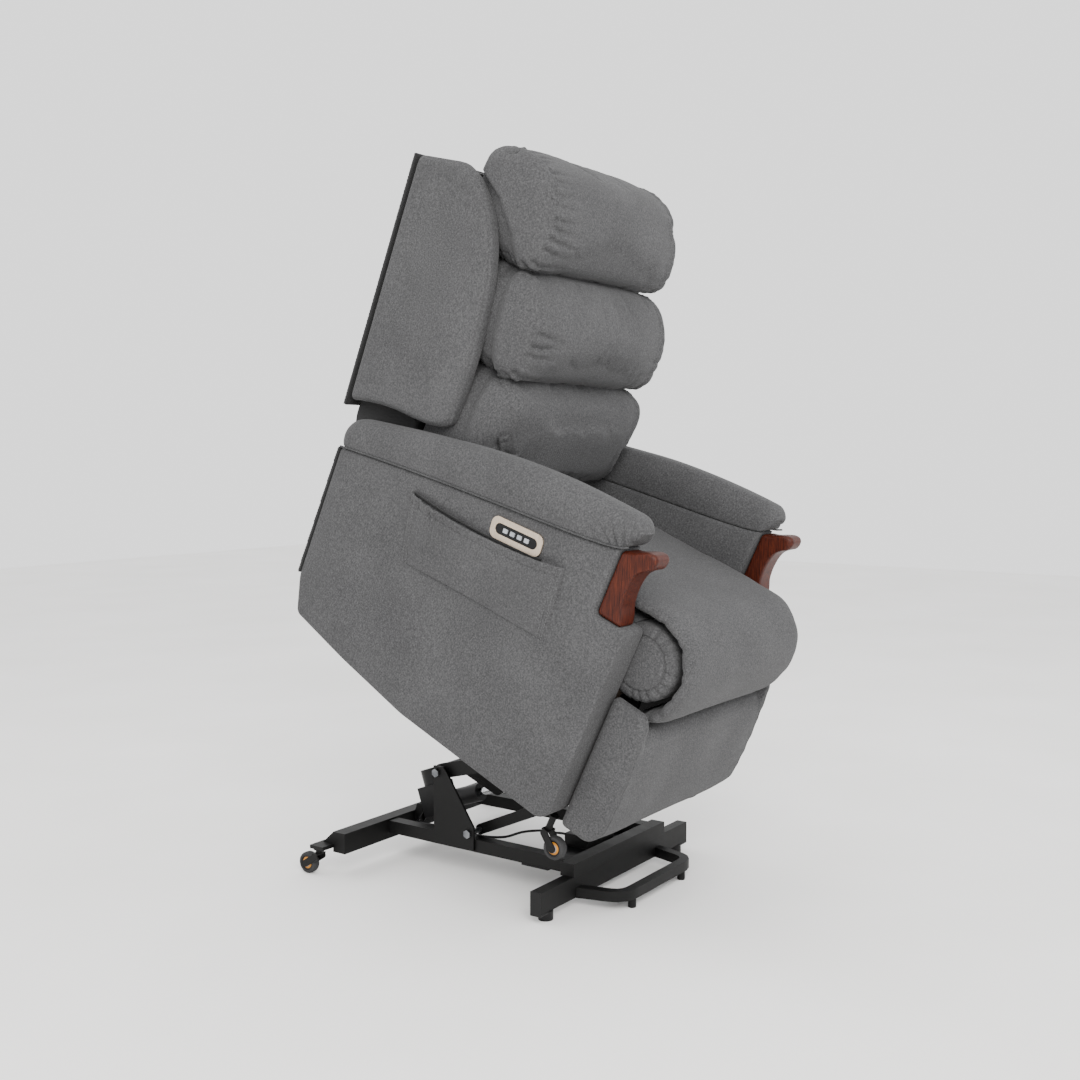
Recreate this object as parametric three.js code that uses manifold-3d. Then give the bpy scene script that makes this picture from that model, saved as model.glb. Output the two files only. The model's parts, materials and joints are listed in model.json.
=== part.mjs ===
// Powered lift recliner chair, shown raised: an upholstered chair body with a reclining back and
// a swing-out legrest, carried by a link mechanism on a black steel base that tips it forward.
// Millimetres, +Z up. The chair faces -Y, and the sitter's right hand side is -X.
import * as THREE from 'three';
import { mergeVertices } from 'three/addons/utils/BufferGeometryUtils.js';
import Module from 'manifold-3d';

const wasm = await Module();
wasm.setup();

// Clearances shared by all pieces
const gap = 0.3;
const overrun = 2;
const weld = 1e-4;
const degree = Math.PI / 180;
const sides = [{ name: 'right', sign: -1 }, { name: 'left', sign: 1 }];

// Base: front foot bar, rear bar, side rails, tie bar and front loop
const footBar = { half: 302, depth: 26, height: 46, wall: 2 };
const footPad = { radius: 16, height: 20, inset: 34, sole: 4, cap: 3 };
const rail = { outer: 171, width: 30, height: 28.5, wall: 2 };
const tieBar = { half: 190, depth: 34, wall: 2 };
const rearBar = { half: 318, front: 514, depth: 36, height: 46, bottom: 52, wall: 2 };
const loop = { halfRoot: 168, halfFront: 140, reach: 108, side: 22, cornerRadius: 34, studShare: 0.4 };
const plugDepth = 14;
const drainRadius = 3;
const boltRadius = 6;
const boltHead = { radius: 10, height: 6 };

// Pivot plates welded outside the side rails, with the two fixed pivots of the lift links
const pivotPlate = {
  thickness: 5, rear: 373, front: 259, bottom: 70, top: 246, slopeTop: 336, slopeFoot: 121,
};
const upperPivot = { y: 364, z: 231 };
const lowerPivot = { y: 274, z: 106 };

// Lift links
const lowerLink = { inner: 126, thickness: 8, height: 20, endRadius: 12, tubeRadius: 10, tubeShare: 0.6 };
const upperLink = { inner: 154, thickness: 8, height: 30, endRadius: 17, slotRadius: 12, tubeRadius: 15 };
const lever = { length: 110, drop: 37 * degree, half: 22, thickness: 5, radius: 15, pin: 6 };

// Lift pose of the chair body, and its seated pose on its own front casters
const raisedTilt = 25 * degree;
const seatedClearance = 84;

// Chair body frame: y from the front edge of the arms, z from their lower edge
const bodyLowerPivot = { y: 30, z: 32 };
const bodyUpperPivot = { y: 130, z: 65 };
const raisedFront = { y: -64.1, z: 208.4 };

// Seat: its half width sets every width of the chair body
const seat = { half: 250, rear: 560, top: 437 };
const roll = { y: 11, z: 366, radius: 84 };
const rollArc = { from: 90, to: 262 };

// Arms
const armPlace = { clearance: 5, thickness: 80, depth: 829 };
const armInner = seat.half + armPlace.clearance;
const arm = {
  inner: armInner, outer: armInner + armPlace.thickness, front: 24, depth: armPlace.depth, cornerRadius: 25,
};
const armSeam = { front: 80, frontHeight: 591, drop: 143, straightShare: 0.66, rootShare: 0.62 };
const belowSeam = {
  notch: 156, pocketRear: 141, pocketFront: 101, pocketFrontFoot: 259, pocketRearFoot: 287, bezel: 103,
};
const armNotch = { low: armSeam.frontHeight - belowSeam.notch, depth: 100, edge: 6, seamGap: 2.5 };
const armUnderside = {
  flatShare: 0.5308, kneeShare: 0.7696, kneeZ: 22, heelShare: 0.9686, heelZ: 48, rearZ: 129,
};
const padOverhang = { inner: 1.5, outer: 6, rear: 10 };
const armPad = { inner: arm.inner - padOverhang.inner, outer: arm.outer + padOverhang.outer, front: 76 };
const armPadThickness = { front: 50, middle: 76, rear: 66 };
const knuckleInset = { inner: 17, outer: 5, rise: 4 };
const knuckle = {
  inner: arm.inner + knuckleInset.inner, outer: arm.outer - knuckleInset.outer, tipY: 25,
  tipZ: armSeam.frontHeight + knuckleInset.rise, edge: 3,
};
// Its outline in shares of its length and height: first the top and the back, then the hollow front
const knuckleBackShares = [[0.25, 0.994], [0.467, 0.955], [0.707, 0.89], [1, 0.856], [1, 0]];
const knuckleFrontShares = [
  [0.17, 0], [0.2, 0.075], [0.36, 0.19], [0.43, 0.32], [0.4, 0.48], [0.27, 0.65], [0.09, 0.8], [0.03, 0.88],
  [0, 0.94], [0.08, 0.985], [0.25, 0.994],
];

// Pocket and hand control on the right arm
const pocket = {
  rearTop: [602, armSeam.frontHeight - belowSeam.pocketRear],
  frontTop: [192, armSeam.frontHeight - belowSeam.pocketFront],
  frontFoot: [175, armSeam.frontHeight - belowSeam.pocketFrontFoot],
  rearFoot: [570, armSeam.frontHeight - belowSeam.pocketRearFoot],
  sag: 22, depth: 13, wall: 3,
};
const bezel = {
  y: 322, z: armSeam.frontHeight - belowSeam.bezel, length: 130, height: 46, corner: 16, depth: 5, rim: 12,
  tilt: -6 * degree,
};
const key = { count: 4, width: 11, height: 9, pitch: 18, proud: 2.6, travel: 1.2, depth: 5.6 };
const insertDepth = 4;

// Pads over the seat and the back are a little wider than the seat
const padHalf = seat.half + armPlace.clearance / 2.5;
const chaise = { half: padHalf, thickness: 26, clearance: 3.4, bend: [-73, 298], lip: [-36, 270], rear: 500 };
const chaiseLoft = { thinShare: 0.45, sideShare: 0.3, crownShare: 0.12, innerShare: 0.8 };
const chaiseArc = { from: 85, to: 204 };
const deck = { bottom: 280, thickness: 12 };
const seatBottom = deck.bottom + deck.thickness + gap;

// Seat frame in the chair body
const sideBoardInset = 29;
const sideBoard = {
  thickness: 22, bottom: 30, front: 30, rear: arm.depth - sideBoardInset, earHalf: 40, earTop: 336,
};
const crossMember = { width: 30, height: 24, frontY: 36, frontZ: 50, rearY: 640, rearZ: 100 };
const linkBracket = {
  inner: 142, thickness: 6, front: 22, rear: 172, bottom: 18, tubeY: 90, tubeZ: 240, tubeRadius: 12,
};

// Back
const backHinge = { y: 650, z: 300, pinRadius: 7 };
const backBoard = { footY: 702, footZ: 480, topZ: 1088, lean: 0.1286, thickness: 12 };
const backFrameOverlap = 2.5;
const backFrame = {
  half: arm.inner + backFrameOverlap, upright: 32, depth: 30, bottom: 560, top: 1060, rail: 34,
};
const wingPlace = { clearance: 0.5, thickness: 42 };
const wingInner = backFrame.half + wingPlace.clearance;
const wing = { inner: wingInner, outer: wingInner + wingPlace.thickness, round: 9 };
const skinInset = 2;
const rearSkin = {
  half: wing.outer - skinInset, bottomY: 885, bottomZ: 522, topY: 911, topZ: 1079, thickness: 8,
};

// Wing: its front edge from the top down as curves, each with its control point and its end
const wingEdge = {
  rearFoot: 536, rearTop: 1079, top: [790, 1100],
  curves: [[712, 1080, 664, 985], [611, 880, 602, 760], [594, 660, 600, 597], [650, 572, 724, 571]],
  foot: [800, 566],
};

// Side flaps of the rear cover, below the wings
const flapInset = { inner: 11, outer: 7 };
const flapOutline = [[770, 575], [890, 575], [888, 524], [854, 452], [772, 540]];
const lowerSkin = { half: arm.outer - skinInset, bottom: 135, top: 445, middleTop: 400, thickness: 8 };
const hingeArmInset = 38;
const hingeArm = {
  inner: arm.inner - hingeArmInset, thickness: 10, radius: 24, width: 20, elbow: 450, bottom: 470, top: 760,
};

// Pillows of the back: heights where each leaves the board, then its free outline from the top round
const headOutline = {
  board: [962, 1080],
  free: [[780, 1150], [735, 1177], [670, 1182], [600, 1152], [558, 1085], [547, 1010], [562, 968], [640, 950],
    [710, 950]],
};
const middleOutline = {
  board: [748, 830, 926],
  free: [[680, 940], [600, 944], [540, 936], [514, 900], [492, 830], [494, 765], [520, 738], [600, 732],
    [680, 734]],
};
const lumbarOutline = {
  board: [505, 600, 705],
  free: [[660, 722], [580, 725], [510, 712], [478, 670], [476, 600], [488, 530], [512, 500], [580, 488],
    [650, 490]],
};

// Legrest
const legInset = { board: 47, shoulder: 3, lip: 7, arm: 49, link: 10 };
const legBoard = { half: arm.outer - legInset.board, back: 6, bottom: -10, top: 252, front: -78 };
const legBoardRound = { back: 14, nose: 26, brow: 12, slope: 60, swell: 3, chinUp: 80, chin: 22, chinIn: 8 };
const legShoulder = {
  inner: padHalf + legInset.lip, outer: legBoard.half - legInset.shoulder,
  top: 292, back: 1, front: -73, low: 200, round: 13, edge: 3,
};
const legArm = {
  y: 230, z: 215, length: 150, closed: -150 * degree, x: arm.inner - legInset.arm, thickness: 6, width: 24,
};
const legLink = {
  boardY: 26, boardZ: 120, x: legArm.x - legInset.link, thickness: 6, width: 22, plate: 4, rise: 60,
};
const legPin = 5;

// Drives
const liftMotor = { x: -60, y: 505, z: 105, tubeRadius: 21, tubeEnd: 188, rodRadius: 9, rodRear: 132 };
const gearbox = { half: 31, rear: 26, front: 86, low: 27, high: 44, motorRadius: 25, motorTop: 82 };
const eye = { radius: 10, half: 12, pin: 5, rodRadius: 14, rodHole: 9 };
const motorEar = { thickness: 5, reach: 23, low: 60, high: 97 };
const reclineMotor = {
  x: 60, z: 225, rear: 640, front: 420, radius: 20, rodRadius: 8, rodLength: 60, spare: 30,
};
const reclineBox = { wall: 4, length: 60, inset: 20, drop: 74 };
const reclineNut = { inset: 34, length: 24, half: 12, overlap: 10 };

// Casters
const caster = {
  wheelRadius: 24, wheelWidth: 20, bore: 4.3, axle: 4, trail: 30, stem: 7, legRadius: 8, legThickness: 3,
  hubShare: 0.45, webShare: 0.7, tyreShare: 0.86,
};
const rearCaster = { x: 338, y: 575, axleDrop: 38, plateThickness: 8 };
const casterPlate = { inner: 34, margin: 14, gusset: 8, gussetThickness: 10 };
const frontCasterInset = 25;
const frontCaster = { x: arm.inner + frontCasterInset, y: 38, axleDrop: 60 };

// Supply box and the lead of the lift motor
const supplyBox = { x: -10, y: 66, width: 110, depth: 62, height: 27, tray: 4 };
const lead = { radius: 3, sides: 8, steps: 46 };

// Route of the lead, chosen by hand: first from the motor's bracket, last from the box's rear face
const leadRoute = {
  start: [[gap, 503, 76], [8, 500, 76]],
  middle: [
    [-100, 470, 78], [-104, 420, 82], [-106, 350, 82], [-108, 280, 82], [-108, 220, 92], [-102, 180, 108],
    [-84, 152, 112], [-56, 142, 106], [-24, 150, 94], [2, 162, 84], [18, 158, 80],
  ],
  end: [[22, 14, 79], [22, 0, 79]],
};
const leadPoints = (ear, box) => [
  ...leadRoute.start.map(([x, y, z]) => [ear - x, y, z]),
  ...leadRoute.middle,
  ...leadRoute.end.map(([x, y, z]) => [x, box + y, z]),
];

// Finishes
const finish = {
  fabric: { color: 0x77787a, roughness: 0.95, metalness: 0 },
  blackCloth: { color: 0x141416, roughness: 0.9, metalness: 0 },
  steel: { color: 0x1b1b1d, roughness: 0.45, metalness: 0.6 },
  bright: { color: 0xc9cacc, roughness: 0.25, metalness: 1 },
  wood: { color: 0x5e2a1a, roughness: 0.3, metalness: 0 },
  board: { color: 0xb08d62, roughness: 0.8, metalness: 0 },
  champagne: { color: 0xbfb5a8, roughness: 0.3, metalness: 0.8 },
  blackPlastic: { color: 0x0e0e10, roughness: 0.4, metalness: 0 },
  greyPlastic: { color: 0x8b8d90, roughness: 0.5, metalness: 0 },
  keyPlastic: { color: 0xd9dadb, roughness: 0.5, metalness: 0 },
  tyre: { color: 0x2a2a2b, roughness: 0.7, metalness: 0 },
};

// Solids from geometry, joined and cut
function toSolid(geometry) {
  const bare = geometry.clone();
  bare.deleteAttribute('normal');
  bare.deleteAttribute('uv');
  const merged = mergeVertices(bare, weld);
  return new wasm.Manifold(new wasm.Mesh({
    numProp: 3,
    vertProperties: new Float32Array(merged.attributes.position.array),
    triVerts: new Uint32Array(merged.index.array),
  }));
}

function toGeometry(solid) {
  const mesh = solid.getMesh();
  const geometry = new THREE.BufferGeometry();
  geometry.setAttribute('position', new THREE.BufferAttribute(mesh.vertProperties, mesh.numProp));
  geometry.setIndex(new THREE.BufferAttribute(mesh.triVerts, 1));
  geometry.computeVertexNormals();
  return geometry;
}

function join(...pieces) {
  return toGeometry(pieces.map(toSolid).reduce((whole, piece) => whole.add(piece)));
}

function cut(body, ...tools) {
  return toGeometry(tools.map(toSolid).reduce((rest, tool) => rest.subtract(tool), toSolid(body)));
}

// Box between two values on each axis
function boxBetween([x0, x1], [y0, y1], [z0, z1]) {
  const box = new THREE.BoxGeometry(Math.abs(x1 - x0), Math.abs(y1 - y0), Math.abs(z1 - z0));
  return box.translate((x0 + x1) / 2, (y0 + y1) / 2, (z0 + z1) / 2);
}

// Round bar along X between two values
function rodX(radius, [x0, x1], y, z, facets = 16) {
  const rod = new THREE.CylinderGeometry(radius, radius, Math.abs(x1 - x0), facets);
  return rod.rotateZ(Math.PI / 2).translate((x0 + x1) / 2, y, z);
}

// Round bar along Z between two values
function rodZ(radius, x, y, [z0, z1], facets = 16) {
  const rod = new THREE.CylinderGeometry(radius, radius, Math.abs(z1 - z0), facets);
  return rod.rotateX(Math.PI / 2).translate(x, y, (z0 + z1) / 2);
}

// Round bar along Y between two values
function rodY(radius, x, [y0, y1], z, facets = 16) {
  const rod = new THREE.CylinderGeometry(radius, radius, Math.abs(y1 - y0), facets);
  return rod.translate(x, (y0 + y1) / 2, z);
}

// A shape drawn in (y, z), given its thickness along X between two values
const sideView = new THREE.Matrix4().makeBasis(
  new THREE.Vector3(0, 1, 0), new THREE.Vector3(0, 0, 1), new THREE.Vector3(1, 0, 0));

function extrudeX(shape, [x0, x1], options = {}) {
  const bevel = options.bevel ?? 0;
  const solid = new THREE.ExtrudeGeometry(shape, {
    depth: Math.abs(x1 - x0) - 2 * bevel,
    bevelEnabled: bevel > 0,
    bevelThickness: bevel,
    bevelSize: bevel,
    bevelOffset: -bevel,
    bevelSegments: options.bevelSegments ?? 2,
    curveSegments: options.curveSegments ?? 6,
  });
  return solid.applyMatrix4(sideView).translate(Math.min(x0, x1) + bevel, 0, 0);
}

function polygon(points) {
  return new THREE.Shape(points.map(([y, z]) => new THREE.Vector2(y, z)));
}

// Strap with round ends between two points of the (y, z) plane
function strapShape([y0, z0], [y1, z1], radius) {
  const along = Math.atan2(z1 - z0, y1 - y0);
  const shape = new THREE.Shape();
  shape.absarc(y0, z0, radius, along + Math.PI / 2, along + 3 * Math.PI / 2, false);
  shape.absarc(y1, z1, radius, along - Math.PI / 2, along + Math.PI / 2, false);
  shape.closePath();
  return shape;
}

function holeIn(shape, y, z, radius) {
  const hole = new THREE.Path();
  hole.absarc(y, z, radius, 0, 2 * Math.PI, true);
  shape.holes.push(hole);
  return shape;
}

// Hollow rectangular tube along X or Y, open at both ends
function rectangleTube(width, height, wall, length) {
  const outline = new THREE.Shape();
  outline.moveTo(-width / 2, -height / 2);
  outline.lineTo(width / 2, -height / 2);
  outline.lineTo(width / 2, height / 2);
  outline.lineTo(-width / 2, height / 2);
  outline.closePath();
  const inside = new THREE.Path();
  inside.moveTo(-width / 2 + wall, -height / 2 + wall);
  inside.lineTo(-width / 2 + wall, height / 2 - wall);
  inside.lineTo(width / 2 - wall, height / 2 - wall);
  inside.lineTo(width / 2 - wall, -height / 2 + wall);
  inside.closePath();
  outline.holes.push(inside);
  return new THREE.ExtrudeGeometry(outline, { depth: length, bevelEnabled: false });
}

function tubeAlongX(depth, height, wall, half) {
  return rectangleTube(depth, height, wall, 2 * half).applyMatrix4(sideView).translate(-half, 0, 0);
}

const lengthwise = new THREE.Matrix4().makeBasis(
  new THREE.Vector3(-1, 0, 0), new THREE.Vector3(0, 0, 1), new THREE.Vector3(0, 1, 0));

function tubeAlongY(width, height, wall, length) {
  return rectangleTube(width, height, wall, length).applyMatrix4(lengthwise);
}

// Round bar or lead along a bent path of points, with rounded corners
function bentPath(points, radius) {
  const path = new THREE.CurvePath();
  const corners = points.map((point) => new THREE.Vector3(...point));
  let from = corners[0];
  for (let i = 1; i < corners.length - 1; i += 1) {
    const before = corners[i].clone().sub(corners[i - 1]).setLength(radius);
    const after = corners[i + 1].clone().sub(corners[i]).setLength(radius);
    const enter = corners[i].clone().sub(before);
    const leave = corners[i].clone().add(after);
    path.add(new THREE.LineCurve3(from, enter));
    path.add(new THREE.QuadraticBezierCurve3(enter, corners[i], leave));
    from = leave;
  }
  path.add(new THREE.LineCurve3(from, corners[corners.length - 1]));
  return path;
}

function barAlong(path, radius, facets, steps) {
  const section = new THREE.Shape();
  for (let i = 0; i < facets; i += 1) {
    const angle = 2 * Math.PI * (i + 0.5) / facets;
    const point = [radius * Math.cos(angle), radius * Math.sin(angle)];
    if (i === 0) section.moveTo(...point);
    else section.lineTo(...point);
  }
  section.closePath();
  return new THREE.ExtrudeGeometry(section, { steps, extrudePath: path, bevelEnabled: false });
}

// Closed solid from a row of rings, each a list of points, closed at each end by a fan from its
// middle, or across a thin bent ring by a row of quads
function loft(rings, thinRing = false) {
  const count = rings[0].length;
  const middle = (ring) => ring.reduce((sum, p) => sum.clone().add(p), new THREE.Vector3())
    .divideScalar(count);
  const points = rings.flat();
  if (!thinRing) points.push(middle(rings[0]), middle(rings[rings.length - 1]));
  const index = [];
  for (let r = 0; r < rings.length - 1; r += 1) {
    for (let i = 0; i < count; i += 1) {
      const j = (i + 1) % count;
      const [a, b] = [r * count + i, r * count + j];
      const [c, d] = [a + count, b + count];
      index.push(a, b, d, a, d, c);
    }
  }
  const last = (rings.length - 1) * count;
  if (thinRing) {
    for (let i = 0; i < count / 2 - 1; i += 1) {
      const [a, b, c, d] = [i, i + 1, count - 2 - i, count - 1 - i];
      index.push(a, c, b, a, d, c);
      index.push(last + a, last + b, last + c, last + a, last + c, last + d);
    }
  } else {
    for (let i = 0; i < count; i += 1) {
      const j = (i + 1) % count;
      index.push(points.length - 2, j, i);
      index.push(points.length - 1, last + i, last + j);
    }
  }
  const geometry = new THREE.BufferGeometry().setFromPoints(points);
  geometry.setIndex(index);
  geometry.computeVertexNormals();
  return geometry;
}

// Stations from one end to the other, closer together near the ends
function stations(count) {
  return Array.from({ length: count }, (_, i) => Math.sin((i / (count - 1) - 0.5) * Math.PI));
}

// Upholstered bolster along X: a (y, z) outline that keeps its size across the middle, is drawn
// in at its ends and gathered there in pleats
function bolster(outline, options) {
  const { half, count, points, endShare, fullness, pleats, pleatShare, crownShare } = options;
  const curve = new THREE.CatmullRomCurve3(outline.map(([y, z]) => new THREE.Vector3(0, y, z)), true);
  const ring = curve.getSpacedPoints(points).slice(0, points);
  const centre = ring.reduce((sum, p) => sum.clone().add(p), new THREE.Vector3()).divideScalar(points);
  return loft(stations(count).map((station) => {
    const reach = Math.abs(station);
    const drawn = endShare + (1 - endShare) * (1 - reach ** fullness) ** (1 / fullness);
    const crown = 1 - crownShare * reach * reach;
    const gather = pleatShare * reach ** fullness;
    return ring.map((p, i) => {
      const ripple = 1 - gather * (1 - Math.cos(2 * Math.PI * pleats * i / points));
      const size = drawn * crown * ripple;
      return new THREE.Vector3(half * station, centre.y + (p.y - centre.y) * size,
        centre.z + (p.z - centre.z) * size);
    });
  }));
}

// Meshes by name
function part(name, geometry, look) {
  const mesh = new THREE.Mesh(geometry, new THREE.MeshStandardMaterial(look));
  mesh.name = name;
  return mesh;
}

// Span along X on one side of the chair, from its inner to its outer value
const span = (sign, inner, outer) => [sign * inner, sign * outer].sort((a, b) => a - b);

// Base
const footTop = footPad.height + footBar.height;
const railTop = footTop + rail.height;
const railInner = rail.outer - rail.width;
const railRear = rearBar.front - gap;
const plateOuter = rail.outer + gap + pivotPlate.thickness;

function footBarTube() {
  return tubeAlongX(footBar.depth, footBar.height, footBar.wall, footBar.half)
    .translate(0, 0, footPad.height + footBar.height / 2);
}

// Bar across the base: a rectangular tube closed at both ends, with a drain hole in its underside
function closedBar({ half, depth, height, wall }, y, z) {
  const bar = boxBetween([-half, half], [y - depth / 2, y + depth / 2], [z - height / 2, z + height / 2]);
  const inside = boxBetween([-half + wall, half - wall], [y - depth / 2 + wall, y + depth / 2 - wall],
    [z - height / 2 + wall, z + height / 2 - wall]);
  const drains = sides.map(({ sign }) => rodZ(drainRadius, sign * (half - depth), y,
    [z - height / 2 - overrun, z], 10));
  return cut(bar, join(inside, ...drains));
}

// Rear bar with the ears of the lift drive and its pin, and the plates that the rear casters hang from
function rearBarWeldment() {
  const bar = closedBar(rearBar, rearBar.front + rearBar.depth / 2, rearBar.bottom + rearBar.height / 2);
  return join(bar, ...motorEars(), ...sides.map(({ sign }) => rearCasterMount(sign)));
}

const tieRear = tieBar.depth / 2;

function tieBarTube() {
  return closedBar({ ...tieBar, height: rail.height }, 0, footTop + gap + rail.height / 2);
}

// Side rail with its pivot plate welded outside it
function sideRail(sign) {
  const front = tieRear + gap;
  const tube = tubeAlongY(rail.width, rail.height, rail.wall, railRear - front)
    .translate(sign * (rail.outer - rail.width / 2), front, footTop + gap + rail.height / 2);
  const outline = polygon([
    [pivotPlate.front, pivotPlate.bottom], [pivotPlate.rear, pivotPlate.bottom],
    [pivotPlate.rear, pivotPlate.top], [pivotPlate.slopeTop + boltHead.radius, pivotPlate.top],
    [pivotPlate.slopeTop, pivotPlate.top - boltHead.radius], [pivotPlate.front, pivotPlate.slopeFoot],
  ]);
  for (const pivot of [upperPivot, lowerPivot]) holeIn(outline, pivot.y, pivot.z, boltRadius + gap);
  return join(tube, extrudeX(outline, span(sign, rail.outer - gap, plateOuter)));
}

// Moulded cap that closes one end of the foot bar and carries its foot on a short sole
function footCap(sign) {
  const middle = footPad.height + footBar.height / 2;
  const inside = { y: footBar.depth / 2 - footBar.wall - gap, z: footBar.height / 2 - footBar.wall - gap };
  const end = footBar.half + gap;
  const soleTop = footPad.height - gap;
  return join(
    boxBetween(span(sign, footBar.half - plugDepth, end + footPad.cap), [-inside.y, inside.y],
      [middle - inside.z, middle + inside.z]),
    boxBetween(span(sign, end, end + footPad.cap), [-footBar.depth / 2, footBar.depth / 2],
      [soleTop - footPad.sole, footTop]),
    boxBetween(span(sign, footBar.half - footPad.inset, end + footPad.cap),
      [-footBar.depth / 2, footBar.depth / 2], [soleTop - footPad.sole, soleTop]),
    rodZ(footPad.radius, sign * (footBar.half - footPad.inset), 0, [0, soleTop]));
}

// Front loop: one bent square bar with a stud under each front corner
function frontLoop() {
  const height = footPad.height + loop.side / 2;
  const root = -footBar.depth / 2 - gap;
  const inBar = root + loop.side / 2;
  const corners = sides.map(({ sign }) => [sign * loop.halfFront, -loop.reach, height]);
  const bent = barAlong(bentPath([
    [-loop.halfRoot, inBar, height], corners[0], corners[1], [loop.halfRoot, inBar, height],
  ], loop.cornerRadius), loop.side / Math.SQRT2, 4, 30);
  const bar = cut(bent, boxBetween([-footBar.half, footBar.half], [root, footBar.half], [0, footTop]));
  const studs = sides.map(({ sign }) => rodZ(loop.side * loop.studShare,
    sign * (loop.halfFront - loop.cornerRadius), -loop.reach, [0, height]));
  return join(bar, ...studs);
}

// Shaft through both pivot plates, with a hexagon head at each end
function pivotShaft(pivot) {
  const neck = plateOuter + gap;
  const end = neck + boltHead.height;
  return join(rodX(boltRadius, [-end, end], pivot.y, pivot.z),
    ...sides.map(({ sign }) => rodX(boltHead.radius, span(sign, neck, end), pivot.y, pivot.z, 6)));
}

// Lift pose worked out from the linkage
const rotated = ({ y, z }, angle) => ({
  y: y * Math.cos(angle) - z * Math.sin(angle),
  z: y * Math.sin(angle) + z * Math.cos(angle),
});
const inRaisedBody = (point) => {
  const turned = rotated(point, raisedTilt);
  return { y: raisedFront.y + turned.y, z: raisedFront.z + turned.z };
};
const reachOf = (from, to) => Math.hypot(to.y - from.y, to.z - from.z);
const elevationOf = (from, to) => Math.atan2(to.z - from.z, from.y - to.y);
const lowerEnd = inRaisedBody(bodyLowerPivot);
const upperEnd = inRaisedBody(bodyUpperPivot);
const lowerReach = reachOf(lowerPivot, lowerEnd);
const upperReach = reachOf(upperPivot, upperEnd);
const lowerRaised = elevationOf(lowerPivot, lowerEnd);
const upperRaised = elevationOf(upperPivot, upperEnd);
const lowerSeated = Math.asin((seatedClearance + bodyLowerPivot.z - lowerPivot.z) / lowerReach);
const seatedFront = {
  y: lowerPivot.y - lowerReach * Math.cos(lowerSeated) - bodyLowerPivot.y,
  z: seatedClearance,
};
const seatedUpperEnd = { y: seatedFront.y + bodyUpperPivot.y, z: seatedFront.z + bodyUpperPivot.z };
const upperSeated = elevationOf(upperPivot, seatedUpperEnd);
const leverEnd = (elevation) => ({
  y: upperPivot.y - lever.length * Math.cos(elevation - lever.drop),
  z: upperPivot.z + lever.length * Math.sin(elevation - lever.drop),
});
const motorRaised = elevationOf(liftMotor, leverEnd(upperRaised));
const motorSeated = elevationOf(liftMotor, leverEnd(upperSeated));
const rodRaised = reachOf(liftMotor, leverEnd(upperRaised));
const rodSeated = reachOf(liftMotor, leverEnd(upperSeated));

// Ring of a given bore, along X
function ringX(radius, bore, [x0, x1], y, z) {
  const ring = new THREE.Shape();
  ring.absarc(y, z, radius, 0, 2 * Math.PI, false);
  return extrudeX(holeIn(ring, y, z, bore), [x0, x1]);
}

// Lower links: two straps and the cross tube between them, drawn from the fixed pivot towards -Y
function lowerLinks() {
  const tubeY = -lowerReach * lowerLink.tubeShare;
  const straps = sides.map(({ sign }) => {
    const shape = strapShape([-lowerReach, 0], [0, 0], lowerLink.endRadius);
    holeIn(shape, 0, 0, boltRadius + gap);
    holeIn(shape, -lowerReach, 0, boltRadius + gap);
    return extrudeX(shape, span(sign, lowerLink.inner, lowerLink.inner + lowerLink.thickness));
  });
  const tie = rodX(lowerLink.tubeRadius, [-lowerLink.inner - overrun, lowerLink.inner + overrun], tubeY, 0);
  return join(...straps, tie);
}

// Upper links: two straps with open front pivots, the cross tube on the fixed pivot, and the
// drive lever that hangs from it
function upperLinks() {
  const straps = sides.map(({ sign }) => {
    const shape = strapShape([-upperReach, 0], [0, 0], upperLink.endRadius);
    holeIn(shape, 0, 0, boltRadius + gap);
    holeIn(shape, -upperReach, 0, upperLink.slotRadius);
    return extrudeX(shape, span(sign, upperLink.inner, upperLink.inner + upperLink.thickness));
  });
  const bore = upperLink.tubeRadius - rail.wall;
  const tubeSpan = [-upperLink.inner - overrun, upperLink.inner + overrun];
  const tube = ringX(upperLink.tubeRadius, bore, tubeSpan, 0, 0);
  const pin = { y: -lever.length * Math.cos(lever.drop), z: -lever.length * Math.sin(lever.drop) };
  const cheeks = [-1, 1].map((side) => {
    const shape = strapShape([pin.y, pin.z], [0, 0], lever.radius);
    holeIn(shape, 0, 0, bore);
    const inner = liftMotor.x + side * lever.half;
    return extrudeX(shape, [inner, inner + side * lever.thickness].sort((a, b) => a - b));
  });
  const pinSpan = [liftMotor.x - lever.half - lever.thickness, liftMotor.x + lever.half + lever.thickness];
  return join(...straps, tube, ...cheeks, rodX(lever.pin, pinSpan, pin.y, pin.z));
}

// Lift drive: gearbox with its motor and tube, drawn from the rear eye towards -Y
function liftGearbox() {
  const { x } = liftMotor;
  const box = boxBetween([x - gearbox.half, x + gearbox.half], [-gearbox.front, -gearbox.rear],
    [-gearbox.low, gearbox.high]);
  const motorY = -(gearbox.front + gearbox.rear) / 2;
  const motor = rodZ(gearbox.motorRadius, x, motorY, [gearbox.high - overrun, gearbox.motorTop]);
  const eyeShape = strapShape([-gearbox.rear - overrun, 0], [0, 0], eye.radius);
  holeIn(eyeShape, 0, 0, eye.pin + gap);
  const shape = new THREE.Shape();
  shape.absarc(0, 0, liftMotor.tubeRadius, 0, 2 * Math.PI, false);
  holeIn(shape, 0, 0, liftMotor.rodRadius + gap);
  const length = liftMotor.tubeEnd - gearbox.front + overrun;
  const tube = new THREE.ExtrudeGeometry(shape, { depth: length, bevelEnabled: false, curveSegments: 10 })
    .applyMatrix4(lengthwise).translate(liftMotor.x, -liftMotor.tubeEnd, 0);
  return join(box, motor, tube, extrudeX(eyeShape, [x - eye.half, x + eye.half]));
}

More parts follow.
